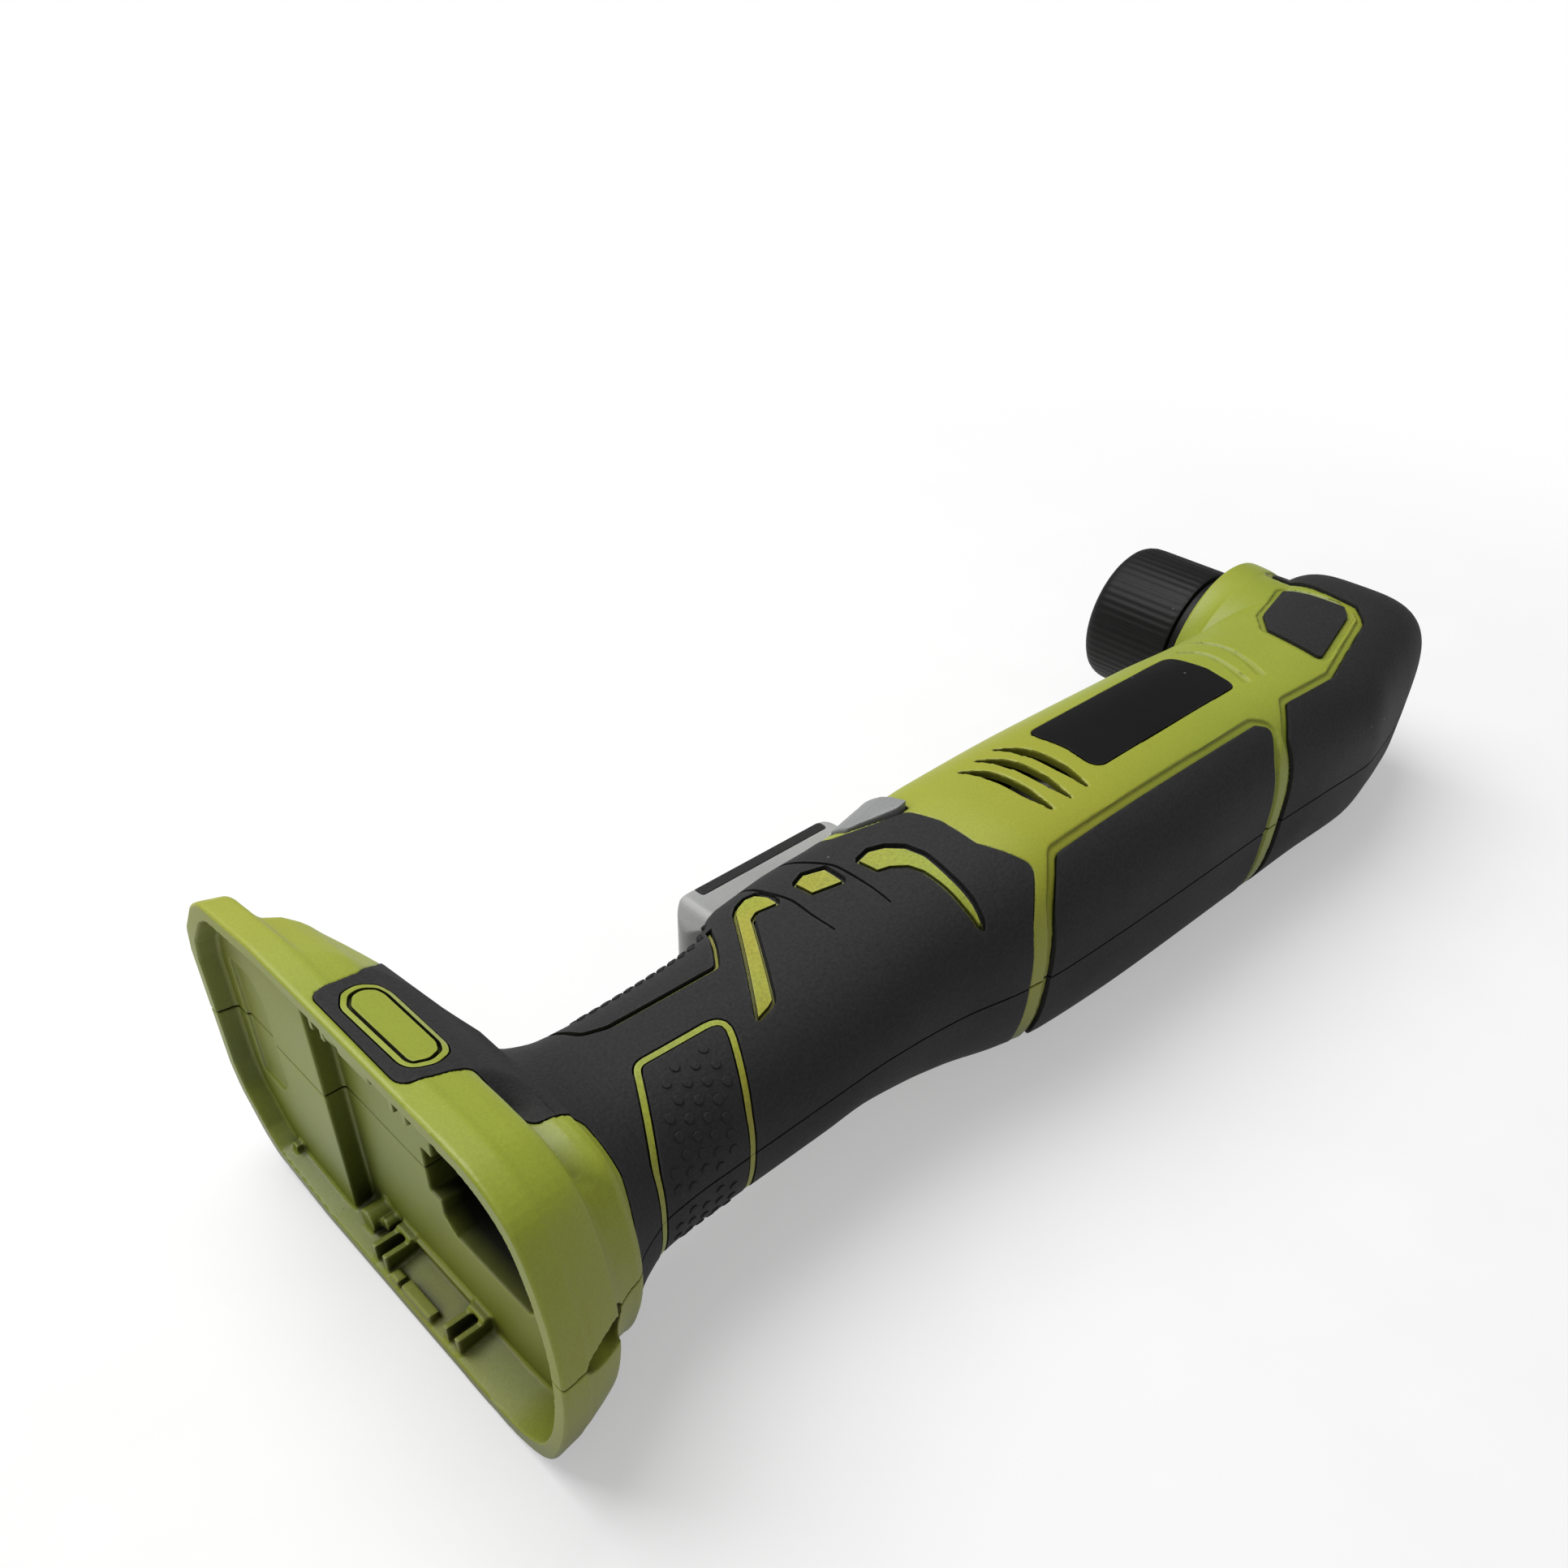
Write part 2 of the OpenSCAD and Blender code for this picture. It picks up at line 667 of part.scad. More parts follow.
module held_pieces() {
    round_x(card_x - rib_gap, case_x - card_x, motor_r + rib_gap);
    round_x(case_x - rib_gap, spindle_x - case_x, case_r + rib_gap);
    round_y(-belly_y - rib_gap, belly_y + head_front, case_r + rib_gap);
    translate([switch_x - rib_gap, switch_top - switch_h - rib_gap, -switch_half - rib_gap])
        cube([switch_len + 2 * rib_gap, switch_h + 2 * rib_gap, 2 * (switch_half + rib_gap)]);
    translate([term_x - rib_gap, -term_back - rib_gap, -term_half - rib_gap])
        cube([term_len + 2 * rib_gap, term_back + term_front + 2 * rib_gap,
            2 * (term_half + rib_gap)]);
    translate([switch_x - over, switch_top, -foot_half])
        cube([card_x - switch_x, foot_front, 2 * foot_half]);
}

module housing_half()
    left_half()
        difference() {
            union() {
                difference() {
                    body_block(0);
                    barrel(shell_t);
                    foot_hollow();
                    mouth();
                    round_y(-belly_y - wall_gap, belly_y + foot_front, case_r + rib_gap);
                    round_y(-case_low - rib_gap, case_low, neck_r + rib_gap);
                }
                difference() {
                    for (x = [term_x + rib_t, term_x + term_len - 2 * rib_t, switch_x + 2 * rib_t,
                        switch_x + switch_len - 3 * rib_t, can_x + rib_t, fan_x - 3 * rib_t,
                        case_x + 2 * rib_t])
                        rib(x);
                    held_pieces();
                }
                intersection() {
                    body_block(over / 2);
                    for (i = [0 : len(screw_places) - 1])
                        screw_axis(i, 0, boss_top_share, boss_r);
                }
                latch_seats();
                intersection() {
                    barrel(shell_t - over / 2);
                    translate([pivot_x, pivot_y, trigger_half + trigger_gap])
                        cylinder(h = barrel_half, r = 2 * trigger_pin_r, $fn = small_n);
                }
            }
            stem_room();
            strap_slot();
            trigger_opening();
            selector_opening();
            translate([pivot_x, pivot_y, 0])
                cylinder(h = trigger_half + 4 * trigger_pin_r, r = trigger_pin_r + seat_gap, $fn = small_n);
            for (s = vent_x_shares)
                vent_arc(along(s));
            skin_bed(grip_shares, rubber_t);
            skin_bed(panel_shares, rubber_t);
            skin_bed(cover_shares, rubber_t);
            skin_bed(window_shares, inlay_t);
            skin_bed(plate_shares, inlay_t);
        }

module left_housing()
    color("YellowGreen")
        difference() {
            housing_half();
            for (i = [0 : len(screw_places) - 1])
                screw_axis(i, screw_out_share, screw_reach_shares[i][1], screw_r + seat_gap);
        }

module right_housing()
    color("OliveDrab")
        difference() {
            mirror([0, 0, 1])
                housing_half();
            for (i = [0 : len(screw_places) - 1]) {
                screw_axis(i, screw_out_share, boss_top_share, screw_r + rib_gap);
                screw_axis(i, screw_out_share, screw_reach_shares[i][0], screw_head_r + rib_gap);
            }
        }

module grip_skin()
    difference() {
        skin(grip_shares, rubber_t);
        trigger_opening();
        skin_bed(badge_shares, inlay_t);
        for (s = [hook_shares, tile_shares, blade_shares])
            skin_bed(s, inlay_t);
        difference() {
            skin_bed(frame_shares, inlay_t);
            prism(frame_shares, -frame_w - bond_gap);
        }
    }

module left_grip()
    color("DimGray")
        difference() {
            grip_skin();
            for (i = [0 : len(screw_places) - 1])
                screw_axis(i, screw_out_share, screw_reach_shares[i][1], screw_r + seat_gap);
        }

module right_grip()
    color("Gray")
        difference() {
            mirror([0, 0, 1])
                grip_skin();
            for (i = [0 : len(screw_places) - 1]) {
                screw_axis(i, screw_out_share, boss_top_share, screw_r + rib_gap);
                screw_axis(i, screw_out_share, screw_reach_shares[i][0], screw_head_r + rib_gap);
            }
        }

module left_side_panel()
    color("DarkSlateGray")
        skin(panel_shares, rubber_t);

module right_side_panel()
    color("SlateGray")
        mirror([0, 0, 1])
            skin(panel_shares, rubber_t);

module left_head_cover()
    color("DarkSlateGray")
        skin(cover_shares, rubber_t);

module right_head_cover()
    color("SlateGray")
        mirror([0, 0, 1])
            skin(cover_shares, rubber_t);

module left_head_window()
    color("Black")
        skin(window_shares, inlay_t);

module right_head_window()
    color("Black")
        mirror([0, 0, 1])
            skin(window_shares, inlay_t);

module left_name_plate()
    color("Black")
        skin(plate_shares, inlay_t);

module right_name_plate()
    color("Black")
        mirror([0, 0, 1])
            skin(plate_shares, inlay_t);

module left_badge()
    color("GreenYellow")
        skin(badge_shares, inlay_t);

module right_badge()
    color("GreenYellow")
        mirror([0, 0, 1])
            skin(badge_shares, inlay_t);

module inlay_set() {
    skin(hook_shares, inlay_t);
    skin(tile_shares, inlay_t);
    skin(blade_shares, inlay_t);
    difference() {
        skin(frame_shares, inlay_t);
        prism(frame_shares, -frame_w);
    }
}

module left_inlays()
    color("GreenYellow")
        inlay_set();

module right_inlays()
    color("GreenYellow")
        mirror([0, 0, 1])
            inlay_set();

module housing_screws()
    color("Silver")
        for (i = [0 : len(screw_places) - 1])
            translate([screw_places[i][0], screw_places[i][1],
                screw_reach_shares[i][0] * barrel_half])
                difference() {
                    union() {
                        translate([0, 0, -screw_head_h])
                            cylinder(h = screw_head_h, r = screw_head_r);
                        cylinder(h = (screw_reach_shares[i][1] - screw_reach_shares[i][0])
                            * barrel_half - seat_gap, r = screw_r);
                    }
                    translate([0, 0, -screw_head_h - over])
                        cylinder(h = screw_head_h / 2 + over, r = screw_head_r / 2, $fn = 6);
                }

// Trigger: a rounded paddle on a pin at its head end.
trigger_round = 5;
trigger_tail = 3;
trigger_back_r = 2.2;
trigger_drop = 15;
pad_inset = 2;
pad_tail = 5.5;
pad_end_r = 1.4;
module trigger_side()
    hull() {
        translate([pivot_x - trigger_reach + trigger_round, trigger_face - trigger_round])
            circle(r = trigger_round, $fn = 32);
        translate([pivot_x, trigger_face - trigger_tail])
            circle(r = trigger_tail, $fn = 32);
        translate([pivot_x - trigger_reach + trigger_round, trigger_face - trigger_drop])
            circle(r = trigger_back_r, $fn = 32);
        translate([pivot_x, pivot_y])
            circle(r = 2 * trigger_pin_r, $fn = 32);
    }

module pad_side(gap)
    translate([pivot_x - trigger_reach + trigger_round + pad_inset - gap, trigger_face - pad_t - gap])
        square([trigger_reach - 2 * trigger_round - pad_inset + pad_tail + 2 * gap,
            pad_t + gap + (gap > 0 ? over : 0)]);

module trigger()
    color("LightGray")
        translate([0, 0, -trigger_half])
            difference() {
                linear_extrude(2 * trigger_half)
                    difference() {
                        trigger_side();
                        pad_side(bond_gap);
                    }
                translate([pivot_x, pivot_y, -over])
                    cylinder(h = 2 * trigger_half + 2 * over, r = trigger_pin_r + run_gap);
            }

module trigger_pad()
    color("Black")
        translate([0, 0, -trigger_half])
            linear_extrude(2 * trigger_half)
                intersection() {
                    pad_side(0);
                    trigger_side();
                }

module trigger_pin()
    color("Silver")
        translate([pivot_x, pivot_y, -trigger_half - 3 * trigger_pin_r])
            cylinder(h = 2 * trigger_half + 6 * trigger_pin_r, r = trigger_pin_r);

// Selector: two buttons on the shoulders, on a bar that runs across the tool.
selector_side_shares = [[0, 0.509], [0.323, 0.269], [0.785, 0], [1, 0], [1, 1], [0, 0.907]];
// Sections of a button at its two ends: shares of its height and of its depth.
selector_foot_shares = [[0, 0.651], [0.343, 0.558], [0.537, 0.453], [0.731, 0.302],
    [0.907, 0.116], [0.907, 0], [0, 0]];
selector_head_shares = [[0, 1], [0.37, 0.872], [0.602, 0.733], [0.806, 0.547], [1, 0.314],
    [1, 0], [0, 0]];
bar_x_share = 0.61;
function selector_y(share) = mixed(selector_low, selector_face, share);
function selector_ring(x, shares) = [for (p = shares)
    [x, selector_y(p[0]), selector_half - selector_t + p[1] * selector_t]];
module selector_side()
    polygon([for (p = selector_side_shares) [selector_x + p[0] * selector_len, selector_y(p[1])]]);
module selector_button()
    intersection() {
        link(selector_ring(selector_x, selector_foot_shares),
            selector_ring(selector_x + selector_len, selector_head_shares));
        linear_extrude(selector_half + over)
            selector_side();
    }
module direction_selector()
    color("DarkGray")
        union() {
            for (side = [0, 1])
                mirror([0, 0, side])
                    selector_button();
            translate([selector_x + bar_x_share * selector_len, switch_top + bar_t + trigger_gap,
                selector_t - selector_half])
                cube([selector_len / 3, bar_t, 2 * (selector_half - selector_t)]);
        }

module switch_body()
    color("DarkRed")
        difference() {
            translate([switch_x, switch_top - switch_h, -switch_half])
                cube([switch_len, switch_h, 2 * switch_half]);
            translate([pivot_x - plunger_reach, switch_top - switch_h * 2 / 3, 0])
                rotate([-90, 0, 0])
                    cylinder(h = switch_h, r = plunger_r + chuck_run);
        }

// The plunger ends just short of the back of the trigger.
module switch_plunger() {
    back_y = trigger_face - trigger_drop - trigger_back_r;
    run = trigger_reach - trigger_round;
    rise = pivot_y - 2 * trigger_pin_r - back_y;
    top_y = back_y + rise * (run - plunger_reach) / run - chuck_run * 2;
    color("Black")
        translate([pivot_x - plunger_reach, switch_top - switch_h / 3, 0])
            rotate([-90, 0, 0])
                cylinder(h = top_y - switch_top + switch_h / 3, r = plunger_r);
}

module terminal_block()
    color("Black")
        difference() {
            translate([term_x, -term_back, -term_half])
                cube([term_len, term_back + term_front, 2 * term_half]);
            for (i = [0 : tab_n - 1])
                translate([term_x - over, (term_front - term_back - tab_w) / 2 - seat_gap,
                    (i - (tab_n - 1) / 2) * tab_pitch - tab_t / 2 - seat_gap])
                    cube([term_len / 2 + over + seat_gap, tab_w + 2 * seat_gap, tab_t + 2 * seat_gap]);
        }

module battery_terminals()
    color("Gold")
        for (i = [0 : tab_n - 1])
            translate([term_x + term_len / 2 - tab_len, (term_front - term_back - tab_w) / 2,
                (i - (tab_n - 1) / 2) * tab_pitch - tab_t / 2])
                cube([tab_len, tab_w, tab_t]);

module tube_x(x, h, r, bore)
    translate([x, 0, 0])
        rotate([0, 90, 0])
            difference() {
                cylinder(h = h, r = r);
                translate([0, 0, -over])
                    cylinder(h = h + 2 * over, r = bore);
            }

module tube_y(y, h, r, bore)
    translate([spindle_x, y, 0])
        rotate([-90, 0, 0])
            difference() {
                cylinder(h = h, r = r);
                translate([0, 0, -over])
                    cylinder(h = h + 2 * over, r = bore);
            }

module motor_can()
    color("Silver")
        union() {
            tube_x(can_x, motor_len, motor_r, motor_r - can_t);
            tube_x(can_x + motor_len - can_t, can_t, motor_r - can_t / 2, bush_r + seat_gap);
        }

module motor_magnets()
    color("DimGray")
        for (side = [-1, 1])
            intersection() {
                tube_x(core_x, core_len, motor_r - can_t - seat_gap, motor_r - can_t - magnet_t);
                translate([core_x - over, side > 0 ? motor_r / 4 : -motor_r, -motor_r])
                    cube([core_len + 2 * over, motor_r * 3 / 4, 2 * motor_r]);
            }

module motor_shaft()
    color("Silver")
        translate([shaft_x, 0, 0])
            rotate([0, 90, 0])
                cylinder(h = planet_x + planet_w - shaft_x, r = shaft_r);

module armature()
    color("SaddleBrown")
        translate([core_x, 0, 0])
            rotate([0, 90, 0])
                difference() {
                    cylinder(h = core_len, r = core_r);
                    for (i = [0 : pole_n - 1])
                        rotate([0, 0, 360 * i / pole_n])
                            translate([hub_r, -pole_slot / 2, -over])
                                cube([core_r, pole_slot, core_len + 2 * over]);
                    translate([0, 0, -over])
                        cylinder(h = core_len + 2 * over, r = shaft_r + seat_gap);
                }

module commutator()
    color("Peru")
        tube_x(comm_x, comm_len, comm_r, shaft_r + seat_gap);

module brush_card()
    color("Ivory")
        difference() {
            translate([card_x, 0, 0])
                rotate([0, 90, 0])
                    cylinder(h = card_len - seat_gap, r = motor_r);
            translate([comm_x - wall_gap, 0, 0])
                rotate([0, 90, 0])
                    cylinder(h = card_len, r = comm_r + chuck_run + wall_gap);
            translate([comm_x + wall_gap - seat_gap, -brush_w / 2 - seat_gap,
                -comm_r - chuck_run - brush_len])
                cube([brush_w + 2 * seat_gap, brush_w + 2 * seat_gap,
                    2 * (comm_r + chuck_run + brush_len)]);
            translate([card_x - over, 0, 0])
                rotate([0, 90, 0])
                    cylinder(h = card_len, r = small_bush_r + seat_gap);
        }

module brushes()
    color("DarkSlateGray")
        for (side = [-1, 1])
            translate([comm_x + wall_gap, -brush_w / 2,
                side > 0 ? comm_r + chuck_run : -comm_r - chuck_run - brush_len + seat_gap])
                cube([brush_w, brush_w, brush_len - seat_gap]);

module motor_bushes()
    color("Goldenrod") {
        tube_x(can_x + motor_len - bush_len, bush_len, bush_r, shaft_r + run_gap);
        tube_x(card_x, comm_x - wall_gap - card_x, small_bush_r, shaft_r + run_gap);
    }

module motor_fan()
    color("White")
        translate([fan_x, 0, 0])
            rotate([0, 90, 0])
                difference() {
                    union() {
                        cylinder(h = blade_t, r = fan_r);
                        cylinder(h = fan_len, r = hub_r);
                        for (i = [0 : blade_n - 1])
                            rotate([0, 0, 360 * i / blade_n])
                                translate([hub_r / 2, -blade_t / 2, 0])
                                    cube([fan_r - hub_r / 2 - wall_gap, blade_t, fan_len]);
                    }
                    translate([0, 0, -over])
                        cylinder(h = fan_len + 2 * over, r = shaft_r + seat_gap);
                }

// Involute teeth. Half the angle that a tooth spans at radius r.
function involute(a) = tan(a) * 180 / PI - a;
function half_tooth(r, pr, teeth, width) =
    let (base = pr * cos(pressure_deg), q = max(r, base))
    90 / teeth * width + involute(pressure_deg) - involute(acos(base / q));
function tooth_points(pr, teeth, m, width, add, ded) =
    let (list = [pr - ded * m, pr - ded * m / 3, pr + add * m / 3, pr + add * m])
    [for (i = [0 : teeth - 1])
        let (a = 360 * i / teeth)
        each concat(
            [for (r = list) r * [cos(a - half_tooth(r, pr, teeth, width)),
                sin(a - half_tooth(r, pr, teeth, width))]],
            [for (k = [len(list) - 1 : -1 : 0])
                let (r = list[k])
                r * [cos(a + half_tooth(r, pr, teeth, width)),
                    sin(a + half_tooth(r, pr, teeth, width))]])];

module spur(x, w, pr, teeth, turn)
    translate([x, 0, 0])
        rotate([90, 0, 90])
            rotate([0, 0, turn])
                linear_extrude(w)
                    polygon(tooth_points(pr, teeth, planet_m, tooth_share,
                        addendum_share, dedendum_share));

module sun_pinion()
    color("LightSteelBlue")
        difference() {
            spur(planet_x, planet_w, sun_pr, sun_teeth, 0);
            round_bore(planet_x, planet_w, shaft_r + seat_gap);
        }

module round_bore(x, h, r)
    translate([x - over, 0, 0])
        rotate([0, 90, 0])
            cylinder(h = h + 2 * over, r = r);

// A planet at its place on the orbit, turned so that its teeth meet the sun's gaps.
module planet(i) {
    place = 360 * i / planet_count;
    turn = 180 + 180 / planet_teeth + place * (1 + sun_teeth / planet_teeth);
    translate([0, planet_orbit * cos(place), planet_orbit * sin(place)])
        difference() {
            spur(planet_x, planet_w, planet_pr, planet_teeth, turn);
            round_bore(planet_x, planet_w, planet_pin_r + run_gap);
        }
}

module planet_gear_1()
    color("SteelBlue")
        planet(0);

module planet_gear_2()
    color("SteelBlue")
        planet(1);

module planet_gear_3()
    color("SteelBlue")
        planet(2);

module planet_carrier()
    color("LightSlateGray")
        difference() {
            union() {
                translate([carrier_x, 0, 0])
                    rotate([0, 90, 0])
                        cylinder(h = carrier_t, r = planet_orbit + 2 * planet_pin_r);
                for (i = [0 : planet_count - 1])
                    translate([planet_x, planet_orbit * cos(360 * i / planet_count),
                        planet_orbit * sin(360 * i / planet_count)])
                        rotate([0, 90, 0])
                            cylinder(h = carrier_x - planet_x + carrier_t / 2, r = planet_pin_r);
            }
            round_bore(carrier_x, carrier_t, pinion_shaft_r + seat_gap);
        }

module ring_gear()
    color("DimGray")
        difference() {
            translate([planet_x, 0, 0])
                rotate([0, 90, 0])
                    cylinder(h = planet_w, r = case_bore - seat_gap);
            translate([planet_x - over, 0, 0])
                rotate([90, 0, 90])
                    rotate([0, 0, 180 / ring_teeth])
                        linear_extrude(planet_w + 2 * over)
                            polygon(tooth_points(ring_pr, ring_teeth, planet_m, 2 - tooth_share,
                                dedendum_share, addendum_share));
        }

module gear_case()
    color("Gainsboro")
        difference() {
            union() {
                translate([case_x, 0, 0])
                    rotate([0, 90, 0])
                        cylinder(h = brg_x - case_x, r = case_r);
                translate([case_x, 0, 0])
                    rotate([0, 90, 0])
                        cylinder(h = pinion_x - pinion_hub - case_x, r = pinion_brg_r + case_t);
                translate([spindle_x, -belly_y, 0])
                    rotate([-90, 0, 0])
                        cylinder(h = belly_y + head_front, r = case_r);
                translate([spindle_x, -case_low, 0])
                    rotate([-90, 0, 0])
                        cylinder(h = case_low, r = neck_r);
                translate([spindle_x, 0, 0])
                    rotate([-90, 0, 0])
                        cylinder(h = case_top, r = nose_r);
            }
            translate([planet_x - wall_gap, 0, 0])
                rotate([0, 90, 0])
                    cylinder(h = brg_x - case_t - planet_x + wall_gap, r = case_bore);
            translate([case_x - over, 0, 0])
                rotate([0, 90, 0])
                    cylinder(h = plate_t + 2 * over, r = hub_r + wall_gap);
            translate([brg_x, 0, 0])
                rotate([0, 90, 0])
                    cylinder(h = spindle_x - brg_x, r = pinion_brg_r + seat_gap);
            translate([carrier_x, 0, 0])
                rotate([0, 90, 0])
                    cylinder(h = spindle_x - carrier_x, r = pinion_shaft_r + wall_gap);
            translate([spindle_x, -cavity_low, 0])
                rotate([-90, 0, 0])
                    cylinder(h = cavity_low + brg_y, r = case_bore);
            translate([spindle_x, -bush_y, 0])
                rotate([-90, 0, 0])
                    cylinder(h = bush_y, r = rear_bush_r + seat_gap);
            translate([spindle_x, brg_y - over, 0])
                rotate([-90, 0, 0])
                    cylinder(h = front_brg_w + over, r = front_brg_r + seat_gap);
            translate([spindle_x, brg_y, 0])
                rotate([-90, 0, 0])
                    cylinder(h = case_top, r = spindle_r + wall_gap);
        }

module pinion_bearing()
    color("SlateGray")
        tube_x(brg_x + seat_gap, pinion_brg_w - seat_gap, pinion_brg_r, pinion_shaft_r + run_gap);

// Bevel teeth, drawn in a plane at a set distance from the apex and drawn to it.
function bevel_radius(dist, cone, h) = dist * tan(cone + atan(h / cone_len));
function bevel_points(dist, pr, teeth, cone, width) =
    let (back_pr = pr / cos(cone), back_teeth = teeth / cos(cone),
        list = [-dedendum_share * bevel_m, 0, addendum_share * bevel_m])
    [for (i = [0 : teeth - 1])
        let (a = 360 * i / teeth)
        each concat(
            [for (h = list) bevel_radius(dist, cone, h)
                * [cos(a - half_tooth(back_pr + h, back_pr, back_teeth, width) / cos(cone)),
                    sin(a - half_tooth(back_pr + h, back_pr, back_teeth, width) / cos(cone))]],
            [for (k = [len(list) - 1 : -1 : 0])
                let (h = list[k])
                bevel_radius(dist, cone, h)
                * [cos(a + half_tooth(back_pr + h, back_pr, back_teeth, width) / cos(cone)),
                    sin(a + half_tooth(back_pr + h, back_pr, back_teeth, width) / cos(cone))]])];

module bevel_pinion()
    color("SteelBlue")
        union() {
            translate([pinion_x, 0, 0])
                rotate([90, 0, 90])
                    linear_extrude(bevel_w, scale = 1 - bevel_w / gear_pr)
                        polygon(bevel_points(gear_pr, pinion_pr, pinion_teeth, pinion_cone,
                            tooth_share));
            translate([carrier_x, 0, 0])
                rotate([0, 90, 0])
                    cylinder(h = pinion_x - carrier_x + bevel_w / 2, r = pinion_shaft_r);
        }

module bevel_gear() {
    far = pinion_pr + 2 * bevel_m;
    near = pinion_pr / 2;
    color("LightSteelBlue")
        translate([spindle_x, 0, 0])
            rotate([-90, 0, 0])
                difference() {
                    union() {
                        intersection() {
                            translate([0, 0, far])
                                mirror([0, 0, 1])
                                    linear_extrude(far - near, scale = near / far)
                                        rotate([0, 0, 180 / gear_teeth])
                                            polygon(bevel_points(far, gear_pr, gear_teeth,
                                                gear_cone, tooth_share));
                            difference() {
                                cylinder(h = far, r = gear_pr + bevel_m);
                                translate([0, 0, -over])
                                    cylinder(h = far + 2 * over, r = gear_pr - bevel_w);
                            }
                        }
                        translate([0, 0, far - seat_gap])
                            cylinder(h = gear_back, r = gear_pr + bevel_m);
                    }
                    translate([0, 0, -over])
                        cylinder(h = far + gear_back + 2 * over, r = spindle_r + seat_gap);
                }
}

module spindle()
    color("Silver")
        translate([spindle_x, 0, 0])
            rotate([-90, 0, 0])
                difference() {
                    translate([0, 0, -bush_y + seat_gap])
                        cylinder(h = bush_y + spindle_top - seat_gap, r = spindle_r);
                    translate([0, 0, spindle_top - chuck_screw_len - seat_gap])
                        cylinder(h = chuck_screw_len + over, r = chuck_screw_r);
                }

module front_bearing()
    color("SlateGray")
        tube_y(brg_y, front_brg_w - seat_gap, front_brg_r, spindle_r + run_gap);

module rear_bush()
    color("Goldenrod")
        tube_y(-bush_y + seat_gap, rear_bush_w - seat_gap, rear_bush_r, spindle_r + run_gap);

// Chuck. A jaw slides down its sloped hole to the chuck axis.
module jaw_axis(i, r, from_d, to_d)
    translate([spindle_x, nose_y, 0])
        rotate([0, 360 * i / planet_count, 0])
            translate([tip_rho, 0, 0])
                rotate([0, 0, jaw_deg])
                    translate([0, -from_d, 0])
                        rotate([-90, 0, 0])
                            cylinder(h = from_d + to_d, r = r);

module chuck_body()
    color("Silver")
        difference() {
            translate([spindle_x, chuck_y, 0])
                rotate([-90, 0, 0])
                    difference() {
                        union() {
                            cylinder(h = chuck_len, r = chuck_r);
                            cylinder(h = flange_t, r = flange_r);
                        }
                        translate([0, 0, chuck_len - shank_d])
                            cylinder(h = shank_d + over, r = shank_r);
                        translate([0, 0, -over])
                            cylinder(h = spindle_top - chuck_y + over + seat_gap,
                                r = spindle_r + seat_gap);
                        cylinder(h = chuck_len, r = chuck_screw_r);
                        translate([0, 0, chuck_len - shank_d - chuck_screw_h - seat_gap])
                            cylinder(h = shank_d, r = chuck_screw_head + seat_gap);
                    }
            for (i = [0 : planet_count - 1])
                jaw_axis(i, hole_r, jaw_len + wall_gap, chuck_len);
        }

module chuck_rear_ring()
    color("Black")
        tube_y(chuck_y, rear_ring_h, rear_ring_r, flange_r + seat_gap);

module chuck_screw() {
    low = spindle_top - chuck_screw_len;
    high = nose_y - shank_d - chuck_screw_h;
    color("DimGray")
        translate([spindle_x, 0, 0])
            rotate([-90, 0, 0])
                union() {
                    translate([0, 0, low])
                        cylinder(h = high - low + seat_gap, r = chuck_screw_r - seat_gap);
                    translate([0, 0, high])
                        cylinder(h = chuck_screw_h - seat_gap, r = chuck_screw_head);
                }
}

module chuck_sleeve()
    color("DarkSlateGray")
        translate([spindle_x, 0, 0])
            rotate([-90, 0, 0])
                difference() {
                    rotate_extrude()
                        polygon(concat(
                            [[sleeve_bore, sleeve_y], [sleeve_r, sleeve_y]],
                            [for (i = [0 : len(nose_shares) - 1])
                                [sleeve_r * nose_r_shares[i],
                                    mixed(sleeve_y, sleeve_top, nose_shares[i])]],
                            [[lip_hole, sleeve_top], [lip_hole, nose_y + chuck_run],
                                [chuck_r + chuck_run, nose_y + chuck_run],
                                [chuck_r + chuck_run, nut_y + nut_h],
                                [sleeve_bore, nut_y + nut_h]]));
                    for (i = [0 : flute_n - 1])
                        rotate([0, 0, 360 * i / flute_n])
                            translate([sleeve_r + flute_r / 2, 0, sleeve_y + rear_ring_h])
                                cylinder(h = sleeve_top, r = flute_r);
                }

module chuck_nut()
    color("Silver")
        tube_y(nut_y, nut_h - seat_gap, sleeve_bore - seat_gap, nut_r);

module jaw(i)
    intersection() {
        jaw_axis(i, jaw_r, jaw_len, jaw_len);
        translate([spindle_x, nose_y - 2 * jaw_len, 0])
            rotate([0, 360 * i / planet_count, 0])
                rotate([-90, 0, 0])
                    linear_extrude(2 * jaw_len)
                        polygon([[grip_r, -tip_w / 2], [grip_r + chuck_r / tan(60), -tip_w / 2 - chuck_r],
                            [2 * chuck_r, -tip_w / 2 - chuck_r], [2 * chuck_r, tip_w / 2 + chuck_r],
                            [grip_r + chuck_r / tan(60), tip_w / 2 + chuck_r], [grip_r, tip_w / 2]]);
    }

module chuck_jaw_1()
    color("Gray")
        jaw(0);

module chuck_jaw_2()
    color("Gray")
        jaw(1);

module chuck_jaw_3()
    color("Gray")
        jaw(2);

